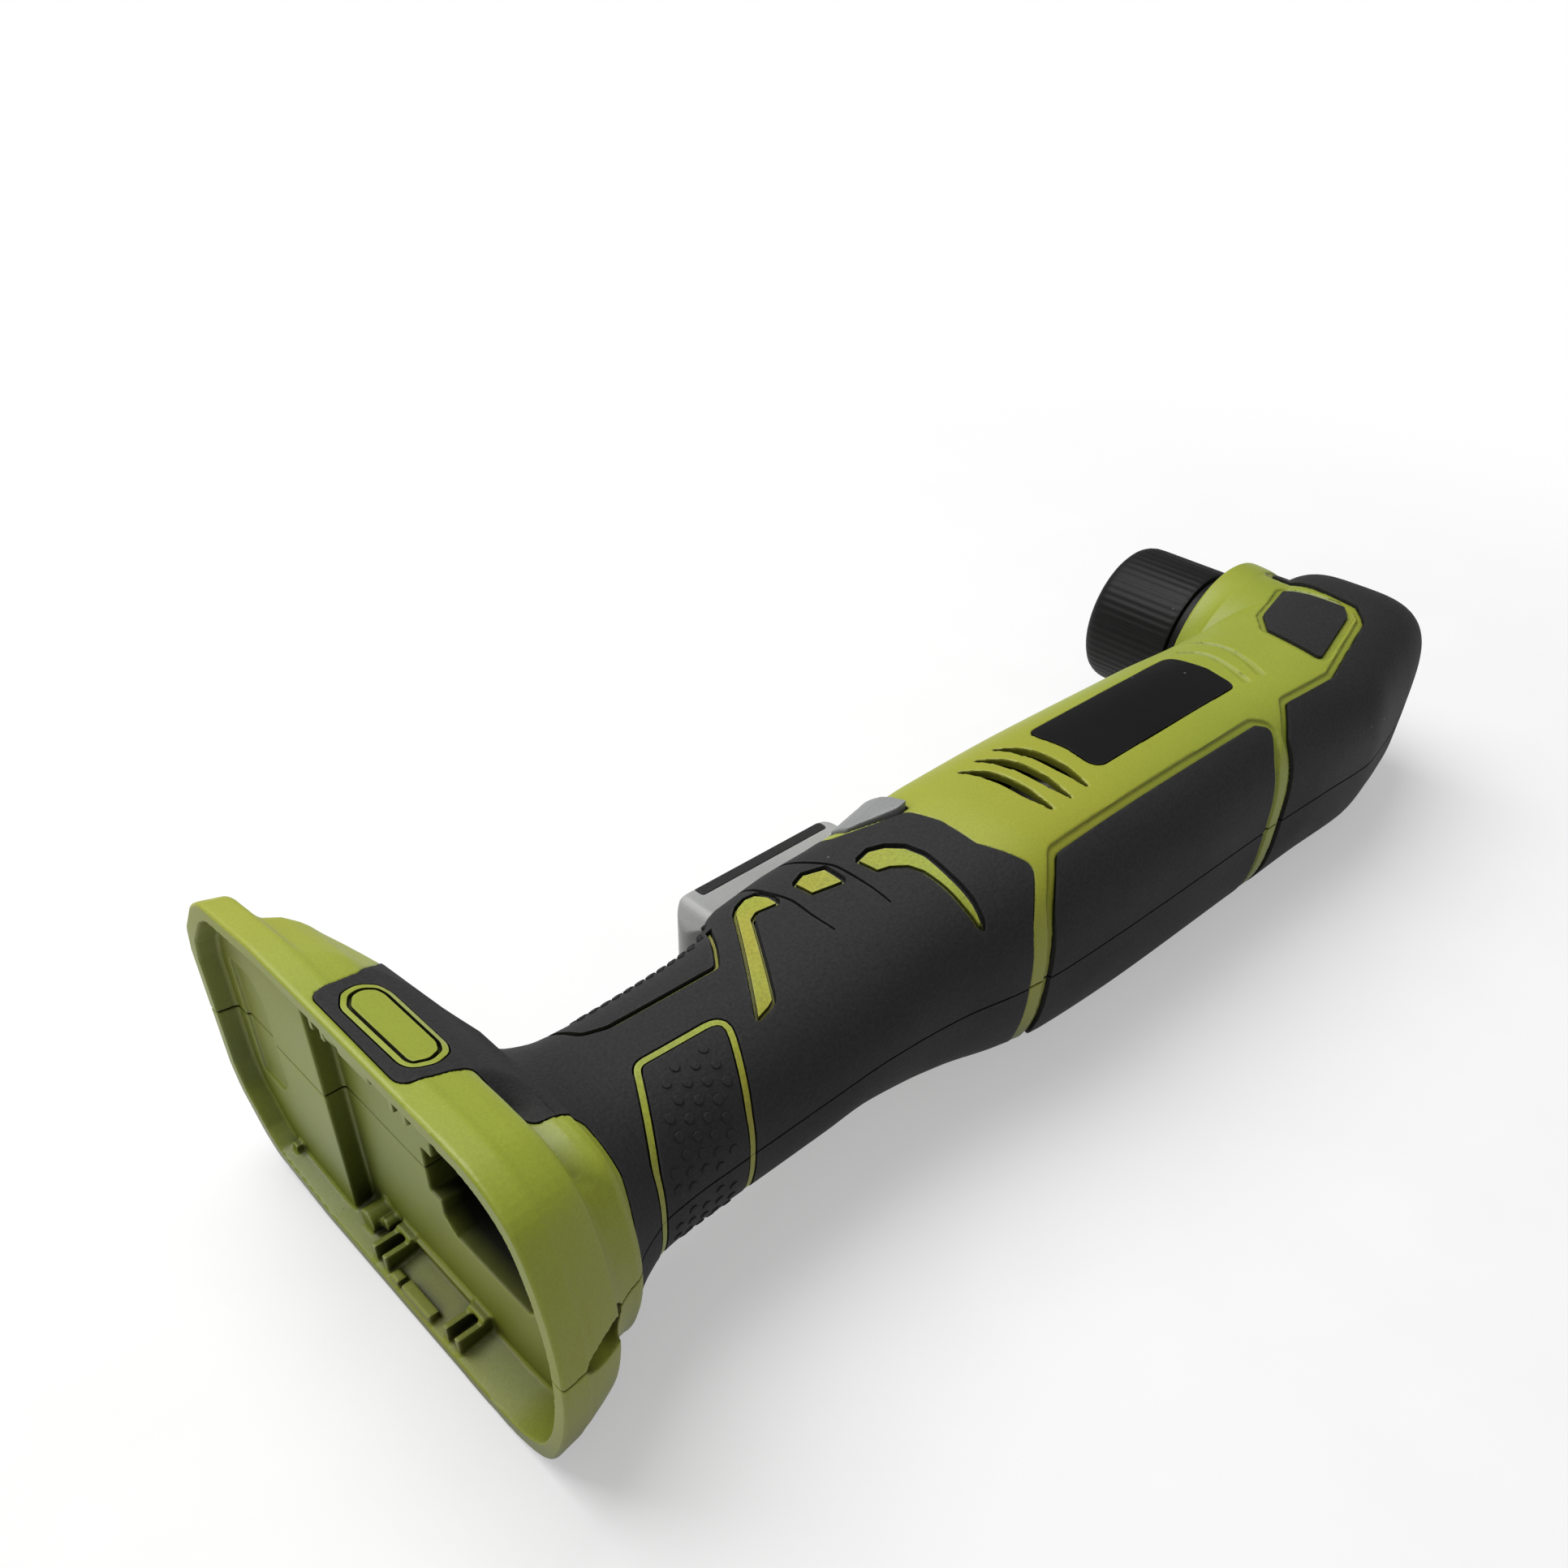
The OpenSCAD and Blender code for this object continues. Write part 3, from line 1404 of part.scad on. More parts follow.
left_housing();
right_housing();
left_grip();
right_grip();
left_side_panel();
right_side_panel();
left_head_cover();
right_head_cover();
left_head_window();
right_head_window();
left_name_plate();
right_name_plate();
left_badge();
right_badge();
left_inlays();
right_inlays();
housing_screws();
trigger();
trigger_pad();
trigger_pin();
direction_selector();
switch_body();
switch_plunger();
terminal_block();
battery_terminals();
motor_can();
motor_magnets();
motor_shaft();
armature();
commutator();
brush_card();
brushes();
motor_bushes();
motor_fan();
sun_pinion();
planet_gear_1();
planet_gear_2();
planet_gear_3();
planet_carrier();
ring_gear();
gear_case();
pinion_bearing();
bevel_pinion();
bevel_gear();
spindle();
front_bearing();
rear_bush();
chuck_body();
chuck_rear_ring();
chuck_screw();
chuck_sleeve();
chuck_nut();
chuck_jaw_1();
chuck_jaw_2();
chuck_jaw_3();
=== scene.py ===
"""Looks of the right angle drill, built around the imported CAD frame. Work is in millimetres."""
import json
import math

import bmesh
import bpy
import numpy as np
from mathutils import Matrix, Vector


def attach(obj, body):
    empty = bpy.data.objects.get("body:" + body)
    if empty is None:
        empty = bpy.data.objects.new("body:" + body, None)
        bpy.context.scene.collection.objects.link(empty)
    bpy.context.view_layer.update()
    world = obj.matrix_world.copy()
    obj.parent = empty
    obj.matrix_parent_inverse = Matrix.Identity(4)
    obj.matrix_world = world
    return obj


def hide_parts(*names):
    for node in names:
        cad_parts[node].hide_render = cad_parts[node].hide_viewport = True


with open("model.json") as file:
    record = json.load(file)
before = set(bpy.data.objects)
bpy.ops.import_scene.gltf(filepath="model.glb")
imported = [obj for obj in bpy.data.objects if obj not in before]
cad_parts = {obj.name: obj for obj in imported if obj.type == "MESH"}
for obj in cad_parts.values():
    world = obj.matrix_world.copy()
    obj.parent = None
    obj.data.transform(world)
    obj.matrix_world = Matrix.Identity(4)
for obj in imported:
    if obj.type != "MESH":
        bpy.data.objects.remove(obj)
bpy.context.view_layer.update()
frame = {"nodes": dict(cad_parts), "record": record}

MM = 0.001
SHARP = math.radians(40)
NODES = frame["nodes"]
scene = bpy.context.scene

# Sizes, near those of part.scad
SPINDLE_X = 268.0
BARREL_BACK = 25.6
# barrel stations: x, back, front, half width, squareness
STATIONS = np.array([
    (20, 24, 26, 24.5, 2.8), (26, 20.5, 22.5, 20.5, 2.6), (33, 18.3, 20.8, 19, 2.5),
    (42, 17.8, 20.5, 18.6, 2.5), (60, 17.8, 21, 18.8, 2.5), (72, 17.8, 22.8, 19.1, 2.5),
    (80, 17.8, 27.65, 19.4, 2.5), (92, 18.4, 28.3, 20.6, 2.6), (104, 19.8, 27.3, 22.3, 2.7),
    (118, 22.8, 27, 24.6, 2.8),
    (130, 24.2, 26.6, 26, 3), (160, 25.1, 26, 26.4, 3.2), (200, 25.6, 25, 26, 3.2),
    (225, 26.5, 24.5, 25.3, 3), (242, 27.3, 24.5, 24.8, 3), (256, 25.2, 24.5, 24.9, 3),
    (268, 22.6, 24.5, 25, 3)])
BARREL_X = 20.0
# the round end of the head: radius, half width, back, front and its drop, squareness and its gain
END_R = 24.9
END_PLAN = 3.0
HEAD_HALF, HEAD_BACK, HEAD_FRONT, END_DROP = 25, 22.6, 24.5, 1.8
END_SQUARE, END_SQUARE_GAIN = 3.0, 0.6
LEAST_HALF = 0.4
END_ANGLES = (0, 20, 40, 57, 73, 85)
END_BACK = (1, 0.88, 0.77, 0.66, 0.54, 0.4)
# foot outline: a round back and a front with corners, as shares of its reach and half width
FOOT_BACK = ((-1, 0), (-0.975, 0.29), (-0.89, 0.607), (-0.75, 0.853), (-0.52, 0.971),
             (-0.245, 1), (0.1, 1))
FOOT_FRONT = ((0.6, 1.0), (0.845, 0.93), (0.9, 0.84), (0.978, 0.6), (1.0, 0.42))
# its levels: x, back, front, half width and the dip of the collar behind the edge of the skirt
FOOT_LEVELS = np.array([
    (0, 32.2, 78.6, 34.2, 0), (0.5, 32.55, 78.95, 34.55, 0), (5.0, 32.1, 77.9, 33.9, 0),
    (5.7, 31.8, 77.2, 33.7, 0), (6.3, 31.7, 69.3, 33.4, 0), (6.9, 31.6, 67.6, 33.2, 0),
    (10, 30.6, 66.4, 32.2, 0), (12, 29.9, 64.0, 31.3, 0), (13, 29.5, 62.4, 30.6, 0),
    (13.1, 29.4, 62.1, 30.5, 2.4), (14.0, 28.9, 60.0, 29.6, 4.9), (15.6, 27.9, 56.2, 28.5, 4.7),
    (17.2, 27.0, 52.4, 27.2, 3.2), (18.8, 26.0, 48, 25.9, 1.7), (20.5, 24.9, 36, 24.2, 0.2),
    (22, 23.8, 27, 23.3, 0)])
# the dip fades towards the back and under the badge rubber
DIP_Y = (-28, -21, -5, 3)
DIP_SHARE = (0.3, 1, 1, 0)
FOOT_ROUND = 2.2
# mouth of the foot: rim, wall and its draft, depths before and behind the step, place of the step
MOUTH_RIM = (32.4, 78.8, 34.4)
MOUTH_WALL = 2.7
MOUTH_DRAFT = 0.18
MOUTH_FRONT = 4.0
MOUTH_DEEP = 8.2
MOUTH_STEP = 43.0
# stem hole, pocket in the front floor, and one half of the lens-shaped strap slot
STEM = np.array(((-14, -1), (17, -1), (17, 5.5), (13.5, 5.5), (13.5, 9), (10, 12), (-10.5, 12),
                 (-14, 8.5)))
STEM_LEN = 64
POCKET = np.array(((61, -1), (61, 10.5), (64, 14.5), (72, 14.5), (72, -1)))
POCKET_X, POCKET_R = (3.0, 4.7), 1.0
STRAP = np.array(((4.6, 0.0), (5.4, 1.4), (7.5, 2.5), (10.0, 3.1), (12.5, 3.2), (14.0, 2.6),
                  (15.0, 1.4), (15.5, 0.0)))
STRAP_Y = (-45, -20)
# latch seats on the side wall of the mouth: forks at two places, then blocks, and round posts
FORK_Y = (2.6, 26.3)
FORK = (((0.9, 0.0, 27.4), (8.6, 1.3, 31.0)), ((0.9, 3.7, 27.4), (8.6, 5.0, 31.0)),
        ((6.2, 0.0, 26.6), (8.6, 5.0, 27.9)))
SEATS = (((0.4, 11.6, 29.4), (2.6, 20.9, 32.4)), ((0.4, 22.3, 29.8), (2.6, 25.0, 32.4)),
         ((7.2, 7.6, 27.0), (8.6, 26.4, 27.9)), ((2.2, 61.4, 27.2), (4.6, 63.4, 30.4)))
POSTS = ((37.2, 28.6, 3.4, 2.5), (33.9, 28.4, 5.2, 1.4))
POST_X = 8.6
# collar around the chuck, with a flare towards the barrel
COLLAR_R = 23.6
COLLAR_TOP = 31.0
COLLAR_ROOT = (12.0, 20.0)
COLLAR_LOW = 23
COLLAR_LIP = 0.6
COLLAR_EDGE = 0.5
FLARE = 8.0
FLARE_Y = 23.5
# inside: wall of the halves, bore of the head, thin wall behind the vents
SHELL_T = 3.6
HEAD_BORE, HEAD_BORE_Y = 20.2, (-10, 40)
VENT_WALL = 1.7
VENT_ROOM = ((132, -12.5, 8), (155, 17, 40))
# gaps at the parting plane
SEAM = 0.07
SKIN_SEAM = 0.24
# depths under the outer form: proud skins, sunken margins, thin beds, rubber beds
PROUD, LOW, MID, BED = -0.12, 0.6, 0.9, 1.5
# gaps of the skins in their beds, and the width of the sunken margins
RUBBER_FIT, PLATE_FIT, BADGE_FIT, INLAY_FIT = 0.12, 0.1, 0.3, 0.25
PANEL_MARGIN, WINDOW_MARGIN = 1.9, 1.7
# corner radii of the skins
GRIP_R, PANEL_R, COVER_R, WINDOW_R, PLATE_R, BADGE_R = 2.5, 2.2, 1.6, 1.2, 3.0, 4.0
HOOK_R, TILE_R, BLADE_R, FRAME_R, FRONT_R = 0.7, 0.5, 0.6, 3.0, 2.0
# lines in the grip: slot and strip of the frame and of the front line, fading arcs
FRAME_SLOT, FRAME_STRIP, FRONT_SLOT, FRONT_STRIP = 1.8, 1.1, 1.2, 0.5
ARC_W, HEAD_ARC_W = (1.0, 0.4), (0.9, 2.0)
VENT_W, VENT_TAPER, VENT_Z = 3.0, 3.0, 8
BADGE_RIM, BADGE_FIELD, BADGE_Z = 0.9, 1.6, 1.0
INLAY_FLANK = 0.55
INLAY_SHADE = np.array((0.5, 0.5))
SCREW_HOLE, SCREW_END = 2.9, -50
# openings of the trigger in the housing and in the rubber
TRIGGER_ROOM = ((76.9, 14, -1), (122.6, 45, 9.2))
TRIGGER_ROOM_SKIN = ((76.7, 14, -1), (122.8, 45, 9.4))
# notches in the rim of the head cover
NOTCH_X, NOTCH_Y, NOTCH_W, NOTCH_LEAN = (279.5, 283.5, 287), (19.5, 30), 1.2, 1.0
# reach of cuts beyond the part
WIDE_LOW, WIDE_HIGH = (-5, -60), (320, 120, 60)
FAR = 60.0
PAST = -1.0
# mesh fineness
RING_N, END_RINGS = 720, 20
VOXEL, FINE_VOXEL = 0.32, 0.3
INNER_STEP, HOUSE_KEEP, SOFT_KEEP = 4.0, 0.3, 0.5


def shares(rows):
    """Points from shares of the tool's length and of the barrel's back."""
    return np.array([(x * SPINDLE_X, y * BARREL_BACK) for x, y in rows])


# outlines of the skins from the side
GRIP = shares(((0.083, -1.6), (0.083, -0.883), (0.09, -0.668), (0.088, -0.32),
               (0.0615, -0.254), (0.0526, 0.05), (0.0485, 0.14), (0.0064, 0.152),
               (0.007, 1.172), (0.0418, 1.27), (0.0597, 1.43), (0.09, 1.875), (0.28, 1.6),
               (0.3937, 1.6), (0.3937, 0.742), (0.406, 0.641), (0.4213, 0.539),
               (0.443, 0.4375), (0.449, 0.16), (0.448, -0.207), (0.466, -0.6),
               (0.444, -0.84), (0.4515, -1.6)))
PANEL = shares(((0.472, -1.6), (0.4657, -0.86), (0.489, -0.633), (0.7445, -0.656),
                (0.759, -0.742), (0.7445, -0.918), (0.7537, -1.6)))
COVER = shares(((0.778, -1.6), (0.7724, -0.86), (0.7985, -0.637), (0.871, -0.66),
                (0.976, -0.363), (0.9974, -0.168), (1.0127, 0.586), (1.015, 0.86),
                (1.2, 0.86), (1.2, -1.6)))
WINDOW = shares(((0.987, 0.559), (0.987, -0.082), (0.9716, -0.2), (0.8847, -0.4375),
                 (0.896, 0.172), (0.924, 0.39)))
PLATE = shares(((0.584, -0.24), (0.777, -0.24), (0.785, 0.1), (0.782, 0.49), (0.587, 0.49),
                (0.59, 0.1)))
BADGE = shares(((0.0146, 0.957), (0.0224, 1.094), (0.0336, 1.145), (0.0463, 1.109),
                (0.05, 1.012), (0.0504, 0.422), (0.0459, 0.309), (0.0343, 0.234),
                (0.0194, 0.246), (0.0157, 0.313)))
HOOK = shares(((0.2257, -0.316), (0.2881, 0.633), (0.2951, 0.691), (0.306, 0.734),
               (0.3138, 0.695), (0.3168, 0.57), (0.3153, 0.4375), (0.2981, 0.488),
               (0.291, 0.453), (0.2478, -0.25), (0.2418, -0.277)))
TILE = shares(((0.3347, 0.52), (0.3466, 0.5625), (0.3619, 0.469), (0.3604, 0.238),
               (0.3351, 0.328)))
BLADE = shares(((0.3795, 0.34), (0.3929, 0.359), (0.4037, 0.289), (0.4127, 0.16),
                (0.4157, -0.008), (0.4131, -0.27), (0.4123, -0.523), (0.4101, -0.676),
                (0.4052, -0.629), (0.4034, -0.488), (0.403, -0.27), (0.4022, -0.109),
                (0.3989, 0.004), (0.3907, 0.094), (0.3813, 0.14)))
FRAME = shares(((0.1, -1.6), (0.115, -0.66), (0.1444, -0.105), (0.2145, -0.137),
                (0.19, -0.66), (0.188, -1.6)))
# fine lines in the grip, arcs beside the plate and vents, as places in the side view
FRONT_LINE = np.array(((35.0, 40), (34.6, 16.0), (36.6, 9.4), (41.0, 7.6), (64.6, 6.4),
                       (68.6, 11.7), (73.6, 19.2)))
ARCS = (((85.4, 26), (85.5, 20.6), (85.5, 16), (86.3, 10.2), (86.0, 4.1), (86.3, -1.2)),
        ((95.0, 24), (95.9, 19.5), (97.1, 15.3), (98.4, 11.4), (98.6, 6.6), (98.6, 1.5),
         (98.4, -3.6)))
HEAD_ARCS = (((223.4, 17.0), (223.4, 11.6), (223.6, 6.6), (221.7, -0.1), (218.1, -7.1)),
             ((214.5, 13), (216.6, 9.7), (217, 6.0), (215.2, -0.3), (212.3, -6.8)))
VENTS = (((147.2, 14.2), (149.9, 10), (151.3, 5.5), (151.5, 1), (151, -4), (150.2, -9.3)),
         ((141, 14), (143.8, 9.8), (145.2, 5.5), (145.4, 1), (145, -4), (144.6, -9.5)),
         ((135.4, 13.4), (137.8, 9.4), (139.1, 5), (139.3, 0.5), (139, -4.5), (139, -9.7)))
# direction selector: foot end, length, lower edge, face, inner face and depth of a button
SELECT_X, SELECT_LEN, SELECT_LOW, SELECT_FACE = 109, 10.8, 12.5, 23.3
SELECT_IN, SELECT_T = 17.3, 8.6
SELECT_FIT, SELECT_HOLE = 0.5, 13.6
# its bar: x, y and how far it reaches into the buttons
BAR_X, BAR_Y, BAR_IN = (115.7, 119.1), (14.8, 19.4), 0.4
# its side view, and the sections of a button at the foot end and at the head end
SELECT_SIDE = ((0, 0.509), (0.323, 0.269), (0.785, 0), (1, 0), (1, 1), (0, 0.907))
SELECT_FOOT = ((0, 0.651), (0.343, 0.558), (0.537, 0.453), (0.731, 0.302), (0.907, 0.116),
               (0.907, 0), (0, 0))
SELECT_HEAD = ((0, 1), (0.37, 0.872), (0.602, 0.733), (0.806, 0.547), (1, 0.314), (1, 0), (0, 0))
# screw holes in the right half: x, y and the z of the screw head
SCREWS = ((12.3, 53.8, -23.0), (81.3, -11.8, -9.6), (124.1, -13.3, -19.5),
          (147.5, 20.6, -14.3))


# Mesh tools
def pchip(xs, ys):
    """A smooth curve through points that never overshoots them."""
    xs, ys = np.asarray(xs, float), np.asarray(ys, float)
    h, d = np.diff(xs), np.diff(ys) / np.diff(xs)
    m = np.zeros(len(xs))
    m[0], m[-1] = d[0], d[-1]
    for i in range(1, len(xs) - 1):
        if d[i - 1] * d[i] > 0:
            a, b = 2 * h[i] + h[i - 1], h[i] + 2 * h[i - 1]
            m[i] = (a + b) / (a / d[i - 1] + b / d[i])

    def at(x):
        x = np.clip(np.asarray(x, float), xs[0], xs[-1])
        i = np.clip(np.searchsorted(xs, x, side="right") - 1, 0, len(xs) - 2)
        t = (x - xs[i]) / h[i]
        return ((2 * t**3 - 3 * t**2 + 1) * ys[i] + (t**3 - 2 * t**2 + t) * h[i] * m[i]
                + (-2 * t**3 + 3 * t**2) * ys[i + 1] + (t**3 - t**2) * h[i] * m[i + 1])
    return at


def evenly(points, count, closed=True):
    """Points at equal steps along a polyline."""
    p = np.vstack([points, points[:1]]) if closed else np.asarray(points, float)
    run = np.concatenate([[0], np.cumsum(np.linalg.norm(np.diff(p, axis=0), axis=1))])
    at = np.linspace(0, run[-1], count + 1)[:-1] if closed else np.linspace(0, run[-1], count)
    return np.stack([np.interp(at, run, p[:, k]) for k in range(p.shape[1])], axis=1)


def spline(points, per=8):
    """Open centripetal Catmull-Rom curve through the points."""
    p = np.asarray(points, float)
    p = np.vstack([2 * p[0] - p[1], p, 2 * p[-1] - p[-2]])
    out = []
    for q in zip(p, p[1:], p[2:], p[3:]):
        t = [0.0]
        for a, b in zip(q, q[1:]):
            t.append(t[-1] + max(np.linalg.norm(b - a), 1e-6) ** 0.5)
        for s in np.linspace(t[1], t[2], per, endpoint=False):
            a1 = (t[1] - s) / (t[1] - t[0]) * q[0] + (s - t[0]) / (t[1] - t[0]) * q[1]
            a2 = (t[2] - s) / (t[2] - t[1]) * q[1] + (s - t[1]) / (t[2] - t[1]) * q[2]
            a3 = (t[3] - s) / (t[3] - t[2]) * q[2] + (s - t[2]) / (t[3] - t[2]) * q[3]
            b1 = (t[2] - s) / (t[2] - t[0]) * a1 + (s - t[0]) / (t[2] - t[0]) * a2
            b2 = (t[3] - s) / (t[3] - t[1]) * a2 + (s - t[1]) / (t[3] - t[1]) * a3
            out.append((t[2] - s) / (t[2] - t[1]) * b1 + (s - t[1]) / (t[2] - t[1]) * b2)
    out.append(p[-2])
    return np.array(out)


def rounded(points, r, steps=5):
    """A polygon with its corners rounded."""
    p = np.asarray(points, float)
    out = []
    for i in range(len(p)):
        u, v = p[i - 1] - p[i], p[(i + 1) % len(p)] - p[i]
        lu, lv = np.linalg.norm(u), np.linalg.norm(v)
        u, v = u / lu, v / lv
        half = math.acos(float(np.clip(u @ v, -1, 1))) / 2
        t = min(r / max(math.tan(half), 1e-3), 0.45 * lu, 0.45 * lv)
        for s in np.linspace(0, 1, steps + 1):
            out.append((1 - s) ** 2 * (p[i] + u * t) + 2 * s * (1 - s) * p[i]
                       + s * s * (p[i] + v * t))
    return np.array(out)


def grown(points, d):
    """A polygon moved outwards by d."""
    p = np.asarray(points, float)
    nxt, prv = np.roll(p, -1, axis=0), np.roll(p, 1, axis=0)
    area = np.sum(p[:, 0] * nxt[:, 1] - nxt[:, 0] * p[:, 1])
    e1, e2 = p - prv, nxt - p
    e1 /= np.linalg.norm(e1, axis=1)[:, None] + 1e-9
    e2 /= np.linalg.norm(e2, axis=1)[:, None] + 1e-9
    n1 = np.stack([e1[:, 1], -e1[:, 0]], 1)
    n2 = np.stack([e2[:, 1], -e2[:, 0]], 1)
    m = n1 + n2
    m /= np.maximum(np.sum(m * n1, axis=1), 0.35)[:, None]
    return p + m * d * (1 if area > 0 else -1)


def stroke(points, width):
    """The outline of a line of some width."""
    p = np.asarray(points, float)
    t = np.gradient(p, axis=0)
    t /= np.linalg.norm(t, axis=1)[:, None]
    n = np.stack([-t[:, 1], t[:, 0]], 1)
    w = np.broadcast_to(np.asarray(width, float), (len(p),))[:, None] / 2
    return np.vstack([p + n * w, (p - n * w)[::-1]])


def solid(verts, faces):
    """A closed work mesh with its faces turned outwards."""
    mesh = bpy.data.meshes.new("work")
    mesh.from_pydata(np.asarray(verts, float).tolist(), [], faces)
    mesh.update()
    bm = bmesh.new()
    bm.from_mesh(mesh)
    bmesh.ops.recalc_face_normals(bm, faces=bm.faces)
    if bm.calc_volume(signed=True) < 0:
        bmesh.ops.reverse_faces(bm, faces=bm.faces)
    bm.to_mesh(mesh)
    bm.free()
    obj = bpy.data.objects.new("work", mesh)
    scene.collection.objects.link(obj)
    return obj


def loft(rings):
    """A closed solid through rings of as many points each."""
    n, m = len(rings[0]), len(rings)
    faces = [(i * n + j, i * n + (j + 1) % n, (i + 1) * n + (j + 1) % n, (i + 1) * n + j)
             for i in range(m - 1) for j in range(n)]
    faces.append(tuple(range(n)))
    faces.append(tuple(range((m - 1) * n, m * n)))
    return solid(np.vstack(rings), faces)


def prism(points, lo=0.0, hi=FAR, axes=(0, 1, 2)):
    """A polygon extruded along the third axis."""
    rings = []
    for h in (lo, hi):
        r = np.zeros((len(points), 3))
        r[:, axes[0]], r[:, axes[1]], r[:, axes[2]] = points[:, 0], points[:, 1], h
        rings.append(r)
    return loft(rings)


def block(lo, hi):
    return prism(np.array(((lo[0], lo[1]), (hi[0], lo[1]), (hi[0], hi[1]), (lo[0], hi[1]))),
                 lo[2], hi[2])


def tube(a, b, r, n):
    """A round bar from a to b."""
    a, b = np.asarray(a, float), np.asarray(b, float)
    d = (b - a) / np.linalg.norm(b - a)
    u = np.cross(d, (0.0, 0.0, 1.0) if abs(d[2]) < 0.9 else (1.0, 0.0, 0.0))
    u /= np.linalg.norm(u)
    v = np.cross(d, u)
    t = np.linspace(0, 2 * math.pi, n, endpoint=False)
    ring = np.cos(t)[:, None] * u + np.sin(t)[:, None] * v
    return loft([a + ring * r, b + ring * r])


def drop(obj):
    mesh = obj.data
    bpy.data.objects.remove(obj)
    bpy.data.meshes.remove(mesh)


def twin(obj):
    new = bpy.data.objects.new("work", obj.data.copy())
    scene.collection.objects.link(new)
    return new


def settle(obj):
    """Applies the modifiers."""
    graph = bpy.context.evaluated_depsgraph_get()
    mesh = bpy.data.meshes.new_from_object(obj.evaluated_get(graph))
    obj.modifiers.clear()
    old = obj.data
    obj.data = mesh
    bpy.data.meshes.remove(old)
    return obj


def boolean(a, b, how, keep):
    """Changes a in place, and drops b unless it is kept."""
    mod = a.modifiers.new("cut", "BOOLEAN")
    mod.operation, mod.solver, mod.object = how, "MANIFOLD", b
    settle(a)
    if not len(a.data.polygons):
        raise RuntimeError("a boolean step left nothing")
    if not keep:
        drop(b)
    return a


def cut(a, b, keep=False):
    return boolean(a, b, "DIFFERENCE", keep)


def join(a, b, keep=False):
    return boolean(a, b, "UNION", keep)


def meet(a, b, keep=False):
    return boolean(a, b, "INTERSECT", keep)


def together(objs):
    """One object out of several that don't overlap."""
    bm = bmesh.new()
    for o in objs:
        bm.from_mesh(o.data)
    mesh = bpy.data.meshes.new("work")
    bm.to_mesh(mesh)
    bm.free()
    for o in objs:
        drop(o)
    new = bpy.data.objects.new("work", mesh)
    scene.collection.objects.link(new)
    return new


def soften(obj, voxel, smooth, ratio=None):
    """Rounds every edge a little: voxel remesh, smoothing, then fewer faces."""
    mod = obj.modifiers.new("remesh", "REMESH")
    mod.mode, mod.voxel_size, mod.adaptivity = "VOXEL", voxel, 0.0
    mod = obj.modifiers.new("smooth", "SMOOTH")
    mod.factor, mod.iterations = 0.5, smooth
    if ratio:
        mod = obj.modifiers.new("fewer", "DECIMATE")
        mod.ratio = ratio
    return settle(obj)


def mirrored(obj):
    """The same piece on the right half."""
    new = twin(obj)
    new.data.transform(Matrix.Diagonal((1, 1, -1, 1)))
    new.data.flip_normals()
    return new


def finish_piece(obj, name, body, material, nodes):
    """Turns a work mesh in millimetres into a named piece on a body."""
    obj.name = obj.data.name = name
    obj.data.transform(Matrix.Diagonal((MM, MM, MM, 1)))
    obj.data.materials.clear()
    obj.data.materials.append(material)
    obj.data.polygons.foreach_set("use_smooth", [True] * len(obj.data.polygons))
    obj.data.set_sharp_from_angle(angle=SHARP)
    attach(obj, body)
    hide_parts(*nodes)


def finish_pair(piece, name, material, node):
    """A skin on the left half and its mirror image on the right half."""
    piece_r = mirrored(piece)
    finish_piece(piece, "left_" + name, "housing", material, ("left_" + node,))
    finish_piece(piece_r, "right_" + name, "housing", material, ("right_" + node,))


# The form of the body
STATION_AT = [pchip(STATIONS[:, 0], STATIONS[:, k]) for k in range(1, 5)]
END_BACK_AT = pchip(END_ANGLES, END_BACK)


def section_at(x):
    """Back, front, half width and squareness of the barrel at x, also in the round end."""
    if x <= SPINDLE_X:
        return [float(f(x)) for f in STATION_AT]
    share = min((x - SPINDLE_X) / END_R, 1.0)
    a = math.degrees(math.asin(share))
    half = HEAD_HALF * (1 - share**END_PLAN) ** (1 / END_PLAN)
    return [HEAD_BACK * float(END_BACK_AT(a)), HEAD_FRONT - END_DROP * share**2, half,
            END_SQUARE + END_SQUARE_GAIN * share]


def section(x, inset, count):
    """A ring of the barrel at x."""
    back, front, half, square = section_at(x)
    t = np.linspace(0, 2 * math.pi, RING_N, endpoint=False)
    c, s = np.cos(t), np.sin(t)
    y = (front - back) / 2 + ((front + back) / 2 - inset) * np.sign(c) * np.abs(c) ** (2 / square)
    z = max(half - inset, LEAST_HALF) * np.sign(s) * np.abs(s) ** (2 / square)
    yz = evenly(np.stack([y, z], 1), count)
    return np.column_stack([np.full(count, x), yz])


def barrel(inset, step=1.5, count=132):
    """Grip, barrel and head in one, smaller by an inset."""
    ends = SPINDLE_X + END_R * np.sin(np.radians(np.linspace(0, END_ANGLES[-1], END_RINGS)))
    rings = [section(x, inset, count) for x in np.arange(BARREL_X, SPINDLE_X, step)]
    for x in ends:
        ring = section(x, inset, count)
        ring[:, 0] = SPINDLE_X + (x - SPINDLE_X) * (END_R - inset) / END_R
        rings.append(ring)
    return loft(rings)


def foot_outline(back, front, half, count=180):
    """The outline of the foot at its own back, front and half width."""
    per = 8
    # the curve starts a point early, so that it is level at the middle of the back
    back_curve = spline([(FOOT_BACK[1][0], -FOOT_BACK[1][1]), *FOOT_BACK], per)[per:]
    p = [*back_curve, *FOOT_FRONT]
    p = [(y * (back if y < 0 else front), z * half) for y, z in p]
    p += [(y, -z) for y, z in p[:0:-1]]
    return evenly(rounded(p, FOOT_ROUND), count)


